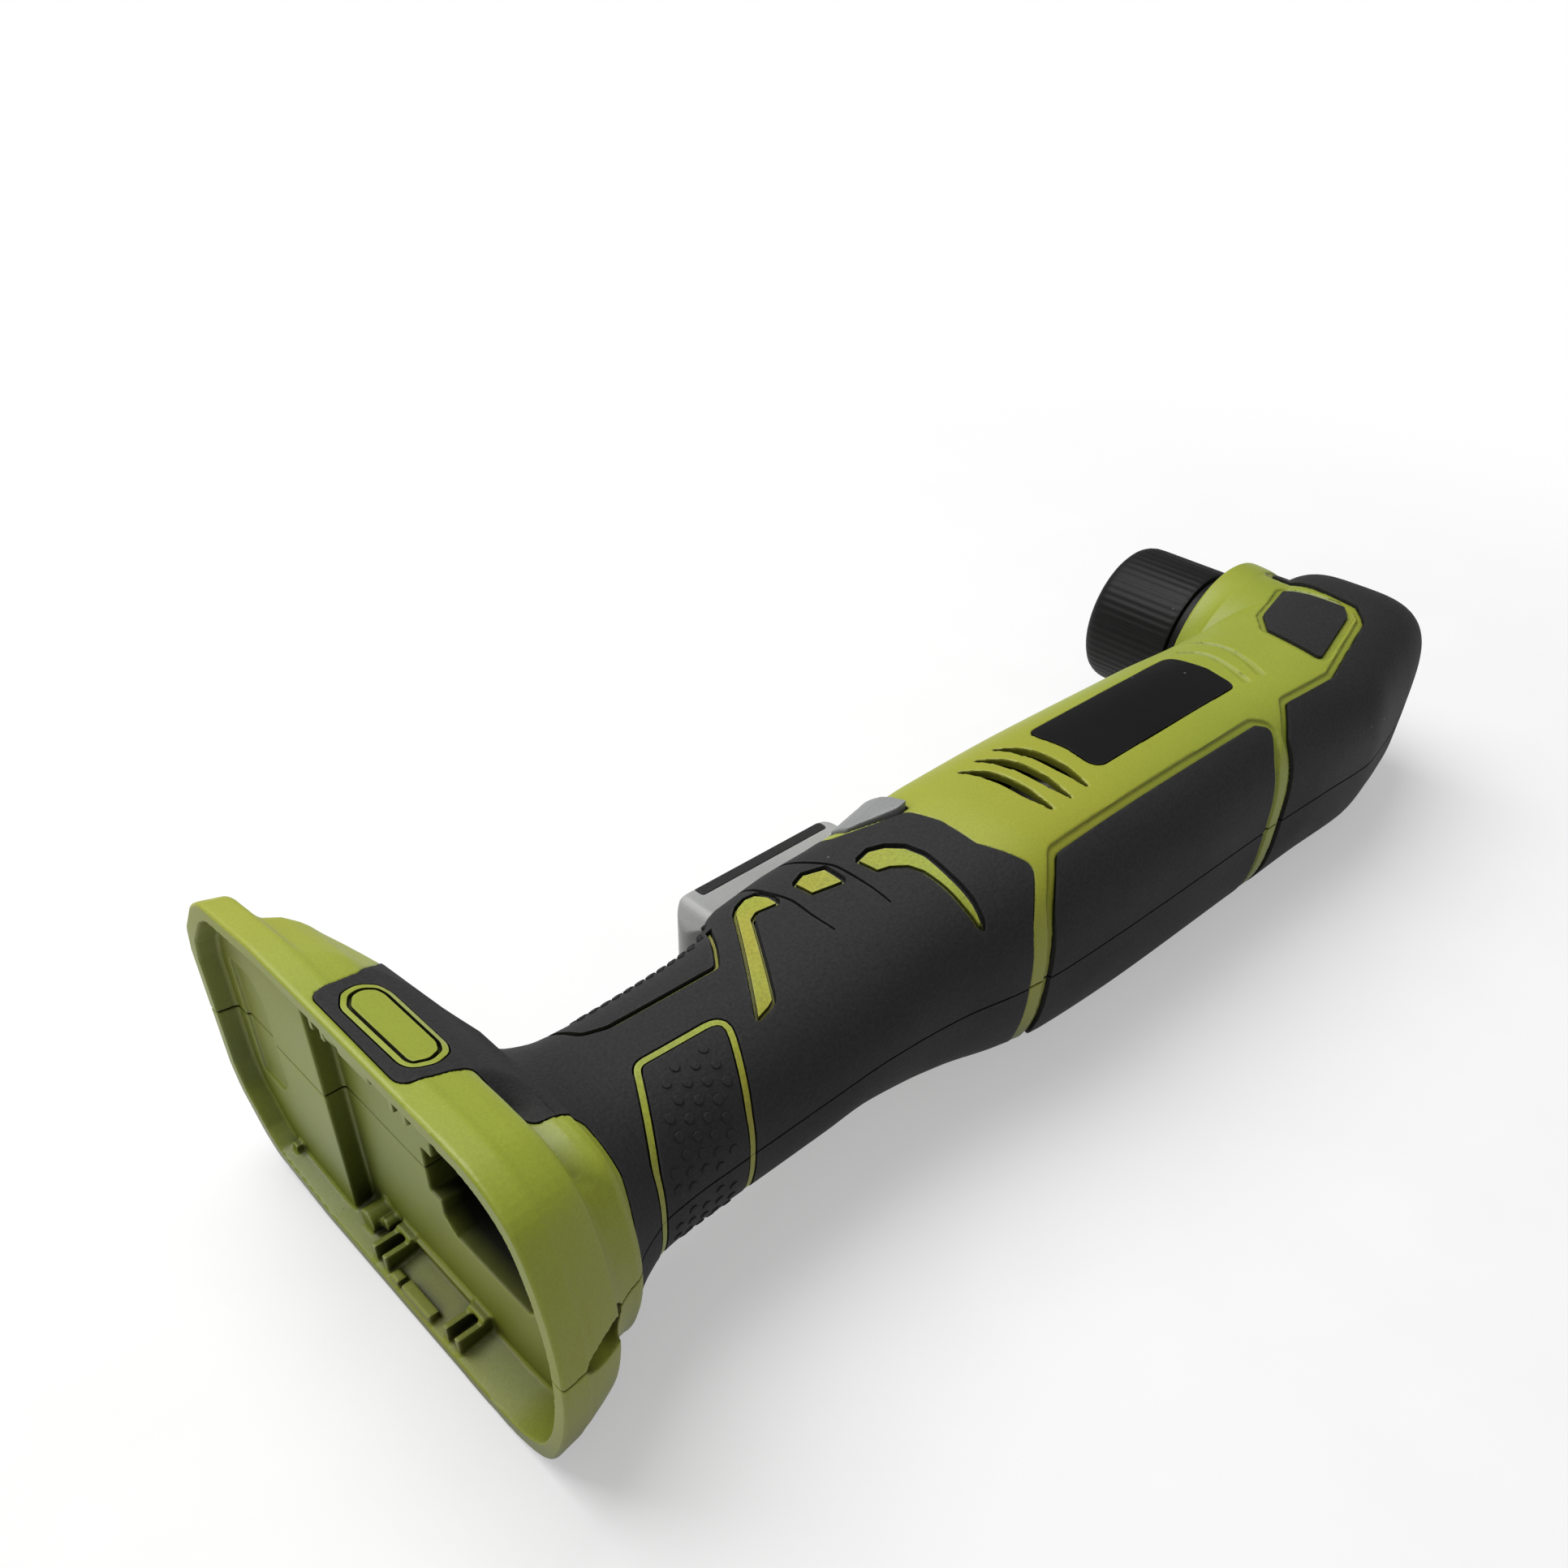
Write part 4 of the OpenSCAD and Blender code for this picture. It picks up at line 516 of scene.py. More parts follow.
def foot(inset):
    """The foot with the ridge of its skirt, smaller by an inset."""
    rings = []
    for x, back, front, half, dip in FOOT_LEVELS:
        yz = foot_outline(back - inset, front - inset, half - inset)
        if dip:
            sunk = foot_outline(back - inset - dip, front - inset - dip, half - inset - dip)
            yz += (sunk - yz) * np.interp(yz[:, 0], DIP_Y, DIP_SHARE)[:, None]
        rings.append(np.column_stack([np.full(len(yz), x - (inset if x > 1 else 0.0)), yz]))
    return loft(rings)


def collar(inset, count=120):
    """The collar around the chuck, smaller by an inset."""
    t = np.linspace(0, 2 * math.pi, count, endpoint=False)
    rings = []
    rise_y = np.linspace(COLLAR_LOW, COLLAR_TOP - COLLAR_LIP, 14)
    for y in np.concatenate([COLLAR_ROOT, rise_y, [COLLAR_TOP]]):
        rise = min(max(FLARE - (y - FLARE_Y), 0.0), FLARE)
        shift = FLARE - math.sqrt(FLARE**2 - rise**2)
        edge = COLLAR_EDGE if y == COLLAR_TOP else 0.0
        x = SPINDLE_X - shift / 2 + (COLLAR_R + shift / 2 - inset - edge) * np.cos(t)
        z = (COLLAR_R - inset - edge) * np.sin(t)
        level = y - (inset if y > COLLAR_LOW else 0.0)
        rings.append(np.column_stack([x, np.full(count, level), z]))
    return loft(rings)


def body(inset):
    """Barrel, foot and collar in one, smaller by an inset."""
    b = join(barrel(inset), foot(inset))
    return join(b, collar(inset))


def half_of(obj):
    """What lies on the left of the parting plane."""
    return meet(obj, block((*WIDE_LOW, SEAM), WIDE_HIGH))


def surface_point(x, share):
    """A point of the barrel and its normal, at a share of the way from front to back."""
    ring = section(x, 0.0, RING_N)
    i = int(share * RING_N / 2) % RING_N
    p, a, b = ring[i], ring[i - 1], ring[(i + 1) % RING_N]
    t = b - a
    n = np.array((0.0, -t[2], t[1]))
    n /= np.linalg.norm(n)
    if n[1:] @ p[1:] < 0:
        n = -n
    return p, n


# Materials
# reach of edge wear and of the painted shade in hollows, height of the grain, scale of the scuffs,
# in metres
WEAR_REACH, HOLLOW_SHADE_REACH, GRAIN_STEP, SCUFF_SCALE = 0.0006, 0.0012, 0.0003, 220.0
# the stem room is darkened with painted shade from here on, and the soft edge of its radius
INSIDE_SHADE_X, INSIDE_SHADE_EDGE = (0.0125, 0.0085), 0.0015


def tree(name):
    """A new material with its nodes."""
    mat = bpy.data.materials.new(name)
    mat.use_nodes = True
    nodes, links = mat.node_tree.nodes, mat.node_tree.links
    return mat, nodes, links, nodes["Principled BSDF"]


def ramp(nodes, stops):
    """A colour ramp from (place, colour) stops."""
    r = nodes.new("ShaderNodeValToRGB")
    el = r.color_ramp.elements
    while len(el) > len(stops):
        el.remove(el[-1])
    while len(el) < len(stops):
        el.new(0.5)
    for e, (pos, col) in zip(el, stops):
        e.position = pos
        e.color = (*col, 1.0)
    return r


def grey(v):
    return (v, v, v)


def noise(nodes, links, coord, scale, detail=4.0, rough=0.55):
    n = nodes.new("ShaderNodeTexNoise")
    n.inputs["Scale"].default_value = scale
    n.inputs["Detail"].default_value = detail
    n.inputs["Roughness"].default_value = rough
    links.new(coord.outputs["Object"], n.inputs["Vector"])
    return n


def mix(nodes, links, kind, fac, a, b):
    """Mixes two colours, each a socket or a constant."""
    m = nodes.new("ShaderNodeMix")
    m.data_type = "RGBA"
    m.blend_type = kind
    for value, socket in ((fac, m.inputs[0]), (a, m.inputs[6]), (b, m.inputs[7])):
        if isinstance(value, bpy.types.NodeSocket):
            links.new(value, socket)
        else:
            socket.default_value = (*value, 1.0) if isinstance(value, tuple) else value
    return m.outputs[2]


def join_max(nodes, links, a, b):
    """The larger of two values."""
    most = nodes.new("ShaderNodeMath")
    most.operation = "MAXIMUM"
    links.new(a, most.inputs[0])
    links.new(b, most.inputs[1])
    return most.outputs[0]


def near_faces(nodes, reach, inside, local=True):
    """Falls from 1 where faces lie near: in hollows or, from inside, at edges."""
    shade = nodes.new("ShaderNodeAmbientOcclusion")
    shade.samples, shade.inside, shade.only_local = 4, inside, local
    shade.inputs["Distance"].default_value = reach
    return shade.outputs["AO"]


def moulded(name, dark, light, rough=0.45, grain=2600.0, bump=0.12, wear=None, wear_amount=0.5,
            dust=0.0, metallic=0.0, patch=18.0, grain_amount=0.25, yellow=None, spec=0.5,
            speck=None, shade=None, cells=420.0, sparse=0.9, core=None):
    """Plastic, rubber or metal: patchy colour, fine grain, worn edges, specks, and painted shade
    in hollows and inside.
    """
    mat, nodes, links, bsdf = tree(name)
    coord = nodes.new("ShaderNodeTexCoord")
    big = noise(nodes, links, coord, patch, 5.0, 0.6)
    tone = ramp(nodes, ((0.3, dark), (0.7, light)))
    links.new(big.outputs["Fac"], tone.inputs["Fac"])
    colour = tone.outputs["Color"]
    if yellow:
        warm = noise(nodes, links, coord, patch * 0.8, 3.0, 0.5)
        band = ramp(nodes, ((0.5, grey(0)), (0.72, grey(1))))
        links.new(warm.outputs["Fac"], band.inputs["Fac"])
        colour = mix(nodes, links, "MIX", band.outputs["Color"], colour, yellow)
    fine = noise(nodes, links, coord, grain, 3.0, 0.6)
    mottle = ramp(nodes, ((0.3, grey(1 - grain_amount)), (0.7, grey(1.0))))
    links.new(fine.outputs["Fac"], mottle.inputs["Fac"])
    colour = mix(nodes, links, "MULTIPLY", 1.0, colour, mottle.outputs["Color"])
    if wear:
        edge = ramp(nodes, ((0.55, grey(1)), (0.85, grey(0))))
        links.new(near_faces(nodes, WEAR_REACH, True), edge.inputs["Fac"])
        scuff = noise(nodes, links, coord, SCUFF_SCALE, 6.0, 0.7)
        gate = ramp(nodes, ((0.42, grey(0)), (0.62, grey(wear_amount))))
        links.new(scuff.outputs["Fac"], gate.inputs["Fac"])
        worn = mix(nodes, links, "MULTIPLY", 1.0, edge.outputs["Color"], gate.outputs["Color"])
        colour = mix(nodes, links, "MIX", worn, colour, wear)
    if dust or speck:
        cell = nodes.new("ShaderNodeTexVoronoi")
        cell.inputs["Scale"].default_value = cells
        links.new(coord.outputs["Object"], cell.inputs["Vector"])
        near = ramp(nodes, ((0.06, grey(1)), (0.15, grey(0))))
        links.new(cell.outputs["Distance"], near.inputs["Fac"])
        some = ramp(nodes, ((sparse, grey(0)), (sparse + 0.03, grey(dust or 0.6))))
        links.new(cell.outputs["Color"], some.inputs["Fac"])
        spots = mix(nodes, links, "MULTIPLY", 1.0, near.outputs["Color"], some.outputs["Color"])
        colour = mix(nodes, links, "MIX", spots, colour, speck or (0.3, 0.3, 0.28))
    # painted shade: the colour darkens in hollows, where faces lie near
    hollow_shade = ramp(nodes, ((0.3, grey(0.35)), (0.9, grey(1.0))))
    links.new(near_faces(nodes, HOLLOW_SHADE_REACH, False), hollow_shade.inputs["Fac"])
    colour = mix(nodes, links, "MULTIPLY", 1.0, colour, hollow_shade.outputs["Color"])
    if shade:
        # painted shade: darker where other parts lie near, over a wider reach
        dim = ramp(nodes, ((0.2, grey(0.02)), (0.55, grey(0.45)), (0.85, grey(1.0))))
        links.new(near_faces(nodes, shade, False, local=False), dim.inputs["Fac"])
        colour = mix(nodes, links, "MULTIPLY", 1.0, colour, dim.outputs["Color"])
    if core:
        # painted shade inside: dark within a radius of the motor axis, past the foot's floor
        where = nodes.new("ShaderNodeSeparateXYZ")
        links.new(coord.outputs["Object"], where.inputs[0])
        off_axis = nodes.new("ShaderNodeCombineXYZ")
        links.new(where.outputs["Y"], off_axis.inputs["Y"])
        links.new(where.outputs["Z"], off_axis.inputs["Z"])
        length = nodes.new("ShaderNodeVectorMath")
        length.operation = "LENGTH"
        links.new(off_axis.outputs[0], length.inputs[0])
        spans = []
        for value, (start, end) in ((length.outputs["Value"], (core - INSIDE_SHADE_EDGE, core)),
                                    (where.outputs["X"], INSIDE_SHADE_X)):
            span = nodes.new("ShaderNodeMapRange")
            span.inputs["From Min"].default_value = start
            span.inputs["From Max"].default_value = end
            links.new(value, span.inputs["Value"])
            spans.append(span.outputs["Result"])
        clear = join_max(nodes, links, *spans)
        inside_shade = ramp(nodes, ((0.0, grey(0.05)), (1.0, grey(1.0))))
        links.new(clear, inside_shade.inputs["Fac"])
        colour = mix(nodes, links, "MULTIPLY", 1.0, colour, inside_shade.outputs["Color"])
    links.new(colour, bsdf.inputs["Base Color"])
    shine = ramp(nodes, ((0.3, grey(rough - 0.08)), (0.7, grey(rough + 0.1))))
    links.new(big.outputs["Fac"], shine.inputs["Fac"])
    links.new(shine.outputs["Color"], bsdf.inputs["Roughness"])
    lift = nodes.new("ShaderNodeBump")
    lift.inputs["Strength"].default_value = bump
    lift.inputs["Distance"].default_value = GRAIN_STEP
    links.new(fine.outputs["Fac"], lift.inputs["Height"])
    links.new(lift.outputs["Normal"], bsdf.inputs["Normal"])
    bsdf.inputs["Metallic"].default_value = metallic
    bsdf.inputs["Specular IOR Level"].default_value = spec
    return mat


GREEN = moulded("green_plastic_look", (0.29, 0.35, 0.03), (0.37, 0.42, 0.036), 0.44, 2200, 0.10,
                wear=(0.5, 0.54, 0.2), wear_amount=0.35, patch=14, grain_amount=0.14,
                yellow=(0.37, 0.39, 0.03), dust=0.6, speck=(0.05, 0.05, 0.02), shade=0.045,
                core=0.0178)
INLAY = moulded("green_inlay_look", (0.29, 0.36, 0.03), (0.38, 0.44, 0.036), 0.5, 1600, 0.2,
                wear=(0.5, 0.54, 0.2), wear_amount=0.3, patch=30, grain_amount=0.3,
                yellow=(0.40, 0.38, 0.028), dust=0.85, speck=(0.03, 0.03, 0.015), shade=0.004,
                cells=700.0, sparse=0.78)
RUBBER = moulded("rubber_look", grey(0.021), grey(0.032), 0.74, 1500, 0.5,
                 wear=grey(0.06), wear_amount=0.4, dust=0.55, patch=20, grain_amount=0.4,
                 spec=0.3)
PLATE_MAT = moulded("black_plate_look", grey(0.004), grey(0.007), 0.5, 3000, 0.08,
                    wear=grey(0.05), wear_amount=0.4, dust=0.4, patch=30, spec=0.15)
BLACK = moulded("black_plastic_look", grey(0.005), grey(0.009), 0.55, 2400, 0.15,
                wear=grey(0.03), wear_amount=0.4, dust=0.35, patch=30, spec=0.22)
GREYP = moulded("grey_plastic_look", (0.34, 0.345, 0.335), (0.44, 0.445, 0.435), 0.42, 2600, 0.1,
                wear=grey(0.62), wear_amount=0.4, patch=25, grain_amount=0.15, dust=0.4,
                speck=grey(0.08))
SELECT = moulded("selector_look", (0.22, 0.225, 0.225), (0.3, 0.305, 0.305), 0.45, 2600, 0.1,
                 wear=grey(0.5), wear_amount=0.4, patch=30, grain_amount=0.2)
RED = moulded("red_plastic_look", (0.28, 0.02, 0.015), (0.36, 0.03, 0.02), 0.4, 2600, 0.1,
              wear=(0.5, 0.1, 0.08))
IVORY = moulded("ivory_plastic_look", (0.62, 0.58, 0.46), (0.7, 0.66, 0.55), 0.45, 2600, 0.1,
                wear=(0.8, 0.78, 0.7))
WHITE = moulded("white_plastic_look", (0.66, 0.66, 0.63), (0.76, 0.76, 0.73), 0.4, 2600, 0.1,
                wear=grey(0.85))
ZINC = moulded("zinc_steel_look", (0.45, 0.45, 0.44), (0.6, 0.6, 0.59), 0.32, 900, 0.08,
               wear=grey(0.75), metallic=1.0, patch=60)
STEEL = moulded("steel_look", (0.36, 0.36, 0.37), (0.5, 0.5, 0.51), 0.28, 1200, 0.08,
                wear=grey(0.75), metallic=1.0, patch=60)
IRON = moulded("core_iron_look", (0.12, 0.12, 0.12), (0.2, 0.2, 0.2), 0.5, 1500, 0.15,
               wear=grey(0.4), metallic=0.9, patch=60)
FERRITE = moulded("ferrite_look", grey(0.03), grey(0.05), 0.6, 1800, 0.2, wear=grey(0.12))
COPPER = moulded("copper_look", (0.5, 0.22, 0.1), (0.66, 0.32, 0.16), 0.3, 1500, 0.08,
                 wear=(0.85, 0.5, 0.3), metallic=1.0, patch=60)
CARBON = moulded("carbon_look", grey(0.025), grey(0.05), 0.65, 2400, 0.25, wear=grey(0.14))
BRASS = moulded("brass_look", (0.55, 0.4, 0.14), (0.68, 0.5, 0.2), 0.3, 1500, 0.08,
                wear=(0.85, 0.7, 0.4), metallic=1.0, patch=60)
ALLOY = moulded("alloy_look", (0.4, 0.4, 0.4), (0.52, 0.52, 0.52), 0.42, 800, 0.2,
                wear=grey(0.7), metallic=1.0, patch=50)
LOOKS = {"green_plastic": GREEN, "rubber": RUBBER, "black_plate": PLATE_MAT,
         "black_plastic": BLACK, "grey_plastic": GREYP, "red_plastic": RED,
         "ivory_plastic": IVORY, "white_plastic": WHITE, "zinc_steel": ZINC, "steel": STEEL,
         "core_iron": IRON, "ferrite": FERRITE, "copper": COPPER, "carbon": CARBON,
         "brass": BRASS, "alloy": ALLOY}
for row in frame["record"]["subparts"]:
    data = NODES[row["node"]].data
    data.materials.clear()
    data.materials.append(LOOKS[row["material_slot"]])

# Housing halves
grip_line = rounded(GRIP, GRIP_R)
panel_line = rounded(PANEL, PANEL_R)
cover_line = rounded(COVER, COVER_R)
window_line = rounded(WINDOW, WINDOW_R)
plate_line = rounded(PLATE, PLATE_R)
badge_line = rounded(BADGE, BADGE_R)

outer = half_of(body(0.0))
proud = half_of(body(PROUD))
bed = body(BED)
low = body(LOW)
mid = body(MID)

house = twin(outer)
for line in (grip_line, panel_line, cover_line):
    house = cut(house, cut(prism(grown(line, RUBBER_FIT), PAST), bed, keep=True))
for line in (window_line, plate_line):
    house = cut(house, cut(prism(grown(line, PLATE_FIT), PAST), mid, keep=True))
# sunken margins around the panels
for line, width in ((panel_line, PANEL_MARGIN), (cover_line, PANEL_MARGIN),
                    (window_line, WINDOW_MARGIN)):
    house = cut(house, cut(prism(grown(line, width), PAST), low, keep=True))
# arcs near the head
for arc in HEAD_ARCS:
    line = spline(arc)
    arc_solid = prism(stroke(line, np.linspace(*HEAD_ARC_W, len(line))), PAST)
    house = cut(house, cut(arc_solid, low, keep=True))
# vents, pointed at both ends
for vent in VENTS:
    line = spline(vent, 6)
    rise = np.linspace(0, VENT_TAPER, len(line))
    end = np.clip(np.minimum(rise, rise[::-1]) + 0.1, 0, 1)
    house = cut(house, prism(stroke(line, VENT_W * end), VENT_Z))


# mouth of the foot, with its step, and the stem hole
def mouth_solid(deep):
    """The room of the mouth to some depth, narrower as it goes deeper."""
    rings = []
    for x in (2 * PAST, deep):
        wall = MOUTH_WALL + MOUTH_DRAFT * x
        yz = foot_outline(*(reach - wall for reach in MOUTH_RIM))
        rings.append(np.column_stack([np.full(len(yz), x), yz]))
    return loft(rings)


house = cut(house, mouth_solid(MOUTH_FRONT))
behind_step = block((3 * PAST, -FAR, -FAR), (FAR / 2, MOUTH_STEP, FAR))
house = cut(house, meet(mouth_solid(MOUTH_DEEP), behind_step))
house = cut(house, prism(STEM, 2 * PAST, STEM_LEN, axes=(1, 2, 0)))
# a shallow pocket in the front of its floor
house = cut(house, prism(rounded(POCKET, POCKET_R), *POCKET_X, axes=(1, 2, 0)))
# latch seats on the side wall of the mouth: two forks, two blocks, a ridge, a nub and posts
for y in FORK_Y:
    for (x0, y0, z0), (x1, y1, z1) in FORK:
        house = join(house, block((x0, y + y0, z0), (x1, y + y1, z1)))
for lo, hi in SEATS:
    house = join(house, block(lo, hi))
for y, z, top, r in POSTS:
    house = join(house, tube((top, y, z), (POST_X, y, z), r, 24))
# strap slot at the back of the foot
slot = spline(STRAP, 5)
slot = np.vstack([slot, (slot * (1, -1))[-2:0:-1]])
house = cut(house, prism(slot, *STRAP_Y, axes=(0, 2, 1)))
# openings for the trigger and the selector
house = cut(house, block(*TRIGGER_ROOM))
side = np.array([(SELECT_X + a * SELECT_LEN, SELECT_LOW + b * (SELECT_FACE - SELECT_LOW))
                 for a, b in SELECT_SIDE])
house = cut(house, prism(grown(side, SELECT_FIT), SELECT_HOLE))
soften(house, VOXEL, 2)
# hollow inside
house = cut(house, barrel(SHELL_T, INNER_STEP, 48))
house = cut(house, meet(barrel(VENT_WALL, INNER_STEP, 64), block(*VENT_ROOM)))
house = cut(house, tube(*((SPINDLE_X, y, 0) for y in HEAD_BORE_Y), HEAD_BORE, 64))
mod = house.modifiers.new("fewer", "DECIMATE")
mod.ratio = HOUSE_KEEP
settle(house)
right = mirrored(house)
for x, y, z in SCREWS:
    right = cut(right, tube((x, y, SCREW_END), (x, y, z), SCREW_HOLE, 32))
finish_piece(house, "left_shell", "housing", GREEN, ("left_housing",))
finish_piece(right, "right_shell", "housing", GREEN, ("right_housing",))

# Skins
shell = cut(meet(twin(proud), block((*WIDE_LOW, SKIN_SEAM), WIDE_HIGH)), bed, keep=True)
INLAYS = tuple(rounded(line, r) for line, r in ((HOOK, HOOK_R), (TILE, TILE_R), (BLADE, BLADE_R)))


def bent_line(points, r, count):
    """An open line with its corners rounded."""
    steps = 5
    curve = rounded(points, r, steps)[steps + 1:-steps - 1]
    return evenly(np.array([points[0], *curve, points[-1]]), count, closed=False)


def skin(line, source, lo=PAST):
    """The part of a layer under an outline."""
    return meet(prism(line, lo), source, keep=True)


grip = skin(grip_line, shell)
for line in INLAYS:
    edge = grown(line, INLAY_FIT)
    grip = cut(grip, prism(edge, PAST))
    grip = cut(grip, cut(prism(edge + INLAY_SHADE, PAST), mid, keep=True))
frame_line = bent_line(FRAME, FRAME_R, 160)
grip = cut(grip, prism(stroke(frame_line, FRAME_SLOT), PAST))
front_line = bent_line(FRONT_LINE, FRONT_R, 80)
grip = cut(grip, prism(stroke(front_line, FRONT_SLOT), PAST))
arcs = []
for arc in ARCS:
    line = spline(arc)
    arcs.append(prism(stroke(line, np.linspace(*ARC_W, len(line))), PAST))
grip = cut(grip, cut(together(arcs), mid, keep=True))
grip = cut(grip, prism(grown(badge_line, BADGE_FIT), BADGE_Z))
grip = cut(grip, block(*TRIGGER_ROOM_SKIN))
# low bumps on the insert and the finger rest
bumps = []


def dome(p, n, r, h):
    """A low round bump at a point, along its normal."""
    u = np.cross(n, (1.0, 0.0, 0.0))
    u /= np.linalg.norm(u)
    v = np.cross(n, u)
    t = np.linspace(0, 2 * math.pi, 12, endpoint=False)
    rings = []
    for s, lift in ((1.0, -0.6), (1.0, 0.3), (0.86, 0.9), (0.5, 1.0), (0.1, 1.0)):
        rings.append(p + n * h * lift + (np.cos(t)[:, None] * u + np.sin(t)[:, None] * v) * r * s)
    return loft(rings)


def inside(p, line):
    """Whether a point lies in a polygon."""
    x, y = p
    hit = False
    for (x1, y1), (x2, y2) in zip(line, np.roll(line, -1, axis=0)):
        if (y1 > y) != (y2 > y) and x < (x2 - x1) * (y - y1) / (y2 - y1) + x1:
            hit = not hit
    return hit


# bumps: radius and height, how far they stand off, places along and around the grip, least z
INSERT_BUMP, REST_BUMP, BUMP_OFF = (0.9, 0.28), (0.8, 0.35), 0.1
INSERT_X, INSERT_STEP, INSERT_Z, INSERT_IN = (28, 60), 3.1, 1.6, 2.6
REST_X, REST_STEP, REST_Z = (41, 76), 2.6, 1.2
INSERT_SHARES, INSERT_SHIFT_SHARE = np.linspace(0.5, 0.98, 10), 0.027
REST_SHARES = np.linspace(0.03, 0.26, 9)
# the finger rest ends above the front line, which rises towards the trigger
REST_LOW, REST_TURN = 9.5, 62
insert_line = grown(FRAME, -INSERT_IN)
for i, x in enumerate(np.arange(*INSERT_X, INSERT_STEP)):
    for share in INSERT_SHARES:
        p, n = surface_point(x, share + (INSERT_SHIFT_SHARE if i % 2 else 0.0))
        if p[2] > INSERT_Z and inside(p[:2], insert_line):
            bumps.append(dome(p + n * BUMP_OFF, n, *INSERT_BUMP))
for x in np.arange(*REST_X, REST_STEP):
    for j, share in enumerate(REST_SHARES):
        p, n = surface_point(x + (REST_STEP / 2 if j % 2 else 0.0), share)
        if p[2] > REST_Z and p[1] > REST_LOW + max(0, x - REST_TURN):
            bumps.append(dome(p + n * BUMP_OFF, n, *REST_BUMP))
grip = join(grip, together(bumps))
grip_r = mirrored(grip)
x, y, _ = SCREWS[1]
grip_r = cut(grip_r, tube((x, y, SCREW_END), (x, y, PAST), SCREW_HOLE, 32))
finish_piece(grip, "left_grip_rubber", "housing", RUBBER, ("left_grip",))
finish_piece(grip_r, "right_grip_rubber", "housing", RUBBER, ("right_grip",))

finish_pair(skin(panel_line, shell), "panel", RUBBER, "side_panel")

cover = skin(cover_line, shell)
notches = [prism(stroke(np.array(((x, NOTCH_Y[0]), (x + NOTCH_LEAN, NOTCH_Y[1]))), NOTCH_W), PAST)
           for x in NOTCH_X]
cover = cut(cover, cut(together(notches), low, keep=True))
finish_pair(cover, "cover", RUBBER, "head_cover")

for line, name, slot, look, node in (
        (window_line, "window", "rubber", RUBBER, "head_window"),
        (plate_line, "plate", "black_plate", PLATE_MAT, "name_plate")):
    finish_pair(cut(skin(line, proud), mid, keep=True), name, look, node)

# badge: a rim around a bare field
badge = cut(skin(badge_line, proud, BADGE_Z), bed, keep=True)
groove = cut(prism(grown(badge_line, -BADGE_RIM), BADGE_Z),
             prism(grown(badge_line, -BADGE_FIELD), 5 * PAST))
badge = cut(badge, cut(groove, low, keep=True))
finish_pair(badge, "badge_piece", GREEN, "badge")

# inlays: a lower flank around a raised middle, the frame line and the front line
parts = []
for line in INLAYS:
    flank = cut(meet(prism(line, PAST), low, keep=True), bed, keep=True)
    crown = cut(meet(prism(grown(line, -INLAY_FLANK), PAST), proud, keep=True), bed, keep=True)
    parts.append(join(flank, crown))
for line, width, top in ((frame_line, FRAME_STRIP, outer), (front_line, FRONT_STRIP, low)):
    parts.append(cut(meet(prism(stroke(line, width), SEAM), top, keep=True), bed, keep=True))
finish_pair(together(parts), "inlay_set", INLAY, "inlays")
for o in (outer, proud, shell, bed, low, mid):
    drop(o)


# Trigger, pad and selector
def hull_line(circles, n=28):
    """The outline around some circles."""
    pts = []
    for x, y, r in circles:
        t = np.linspace(0, 2 * math.pi, n, endpoint=False)
        pts += list(zip(x + r * np.cos(t), y + r * np.sin(t)))
    pts = sorted(set((round(a, 5), round(b, 5)) for a, b in pts))

    def chain(seq):
        out = []
        for p in seq:
            while len(out) > 1 and ((out[-1][0] - out[-2][0]) * (p[1] - out[-2][1])
                                    - (out[-1][1] - out[-2][1]) * (p[0] - out[-2][0])) <= 0:
                out.pop()
            out.append(p)
        return out[:-1]
    return np.array(chain(pts) + chain(pts[::-1]))


def pillow(line, lo, hi, r, steps=5):
    """A prism along Z with rounded edges."""
    rings = []
    a = np.linspace(0, math.pi / 2, steps)
    for level, turn, order in ((lo, 1, a), (hi, -1, a[::-1])):
        for t in order:
            p = grown(line, -r * (1 - math.sin(t)))
            z = level + turn * r * (1 - math.cos(t))
            rings.append(np.column_stack([p, np.full(len(p), z)]))
    return loft(rings)


# side view of the trigger as circles, its rubber pad, and its plan with a round foot end
TRIGGER = ((82.5, 31.25, 5), (119, 33.25, 3), (85.6, 24.8, 5), (92, 21.85, 2.2), (119, 24, 3))
TRIGGER_HALF, TRIGGER_R = 8.8, 0.9
PAD = np.array(((84.5, 33.25), (119.5, 33.25), (119.5, 37.8), (84.5, 37.8)))
PAD_R, PAD_FIT, PAD_Z = 0.9, 0.15, 20
PLAN = np.array(((140, -8.9), (140, 8.9), (81, 8.9), (77.4, 4.6), (77.4, -4.6), (81, -8.9)))
PLAN_R = 4.0
trigger_line = evenly(hull_line(TRIGGER), 120)
trigger = meet(pillow(trigger_line, -TRIGGER_HALF, TRIGGER_HALF, TRIGGER_R),
               prism(rounded(PLAN, PLAN_R), axes=(0, 2, 1)))
pad = meet(twin(trigger), prism(rounded(PAD, PAD_R), -PAD_Z, PAD_Z))
trigger = cut(trigger, prism(rounded(grown(PAD, PAD_FIT), PAD_R), -PAD_Z, PAD_Z))
soften(trigger, FINE_VOXEL, 1, SOFT_KEEP)
soften(pad, FINE_VOXEL, 2, SOFT_KEEP)
finish_piece(trigger, "trigger_paddle", "trigger", GREYP, ("trigger",))
finish_piece(pad, "trigger_strip", "trigger", RUBBER, ("trigger_pad",))


def select_ring(x, rows):
    """A section of a selector button."""
    return np.array([(x, SELECT_LOW + a * (SELECT_FACE - SELECT_LOW), SELECT_IN + b * SELECT_T)
                     for a, b in rows])


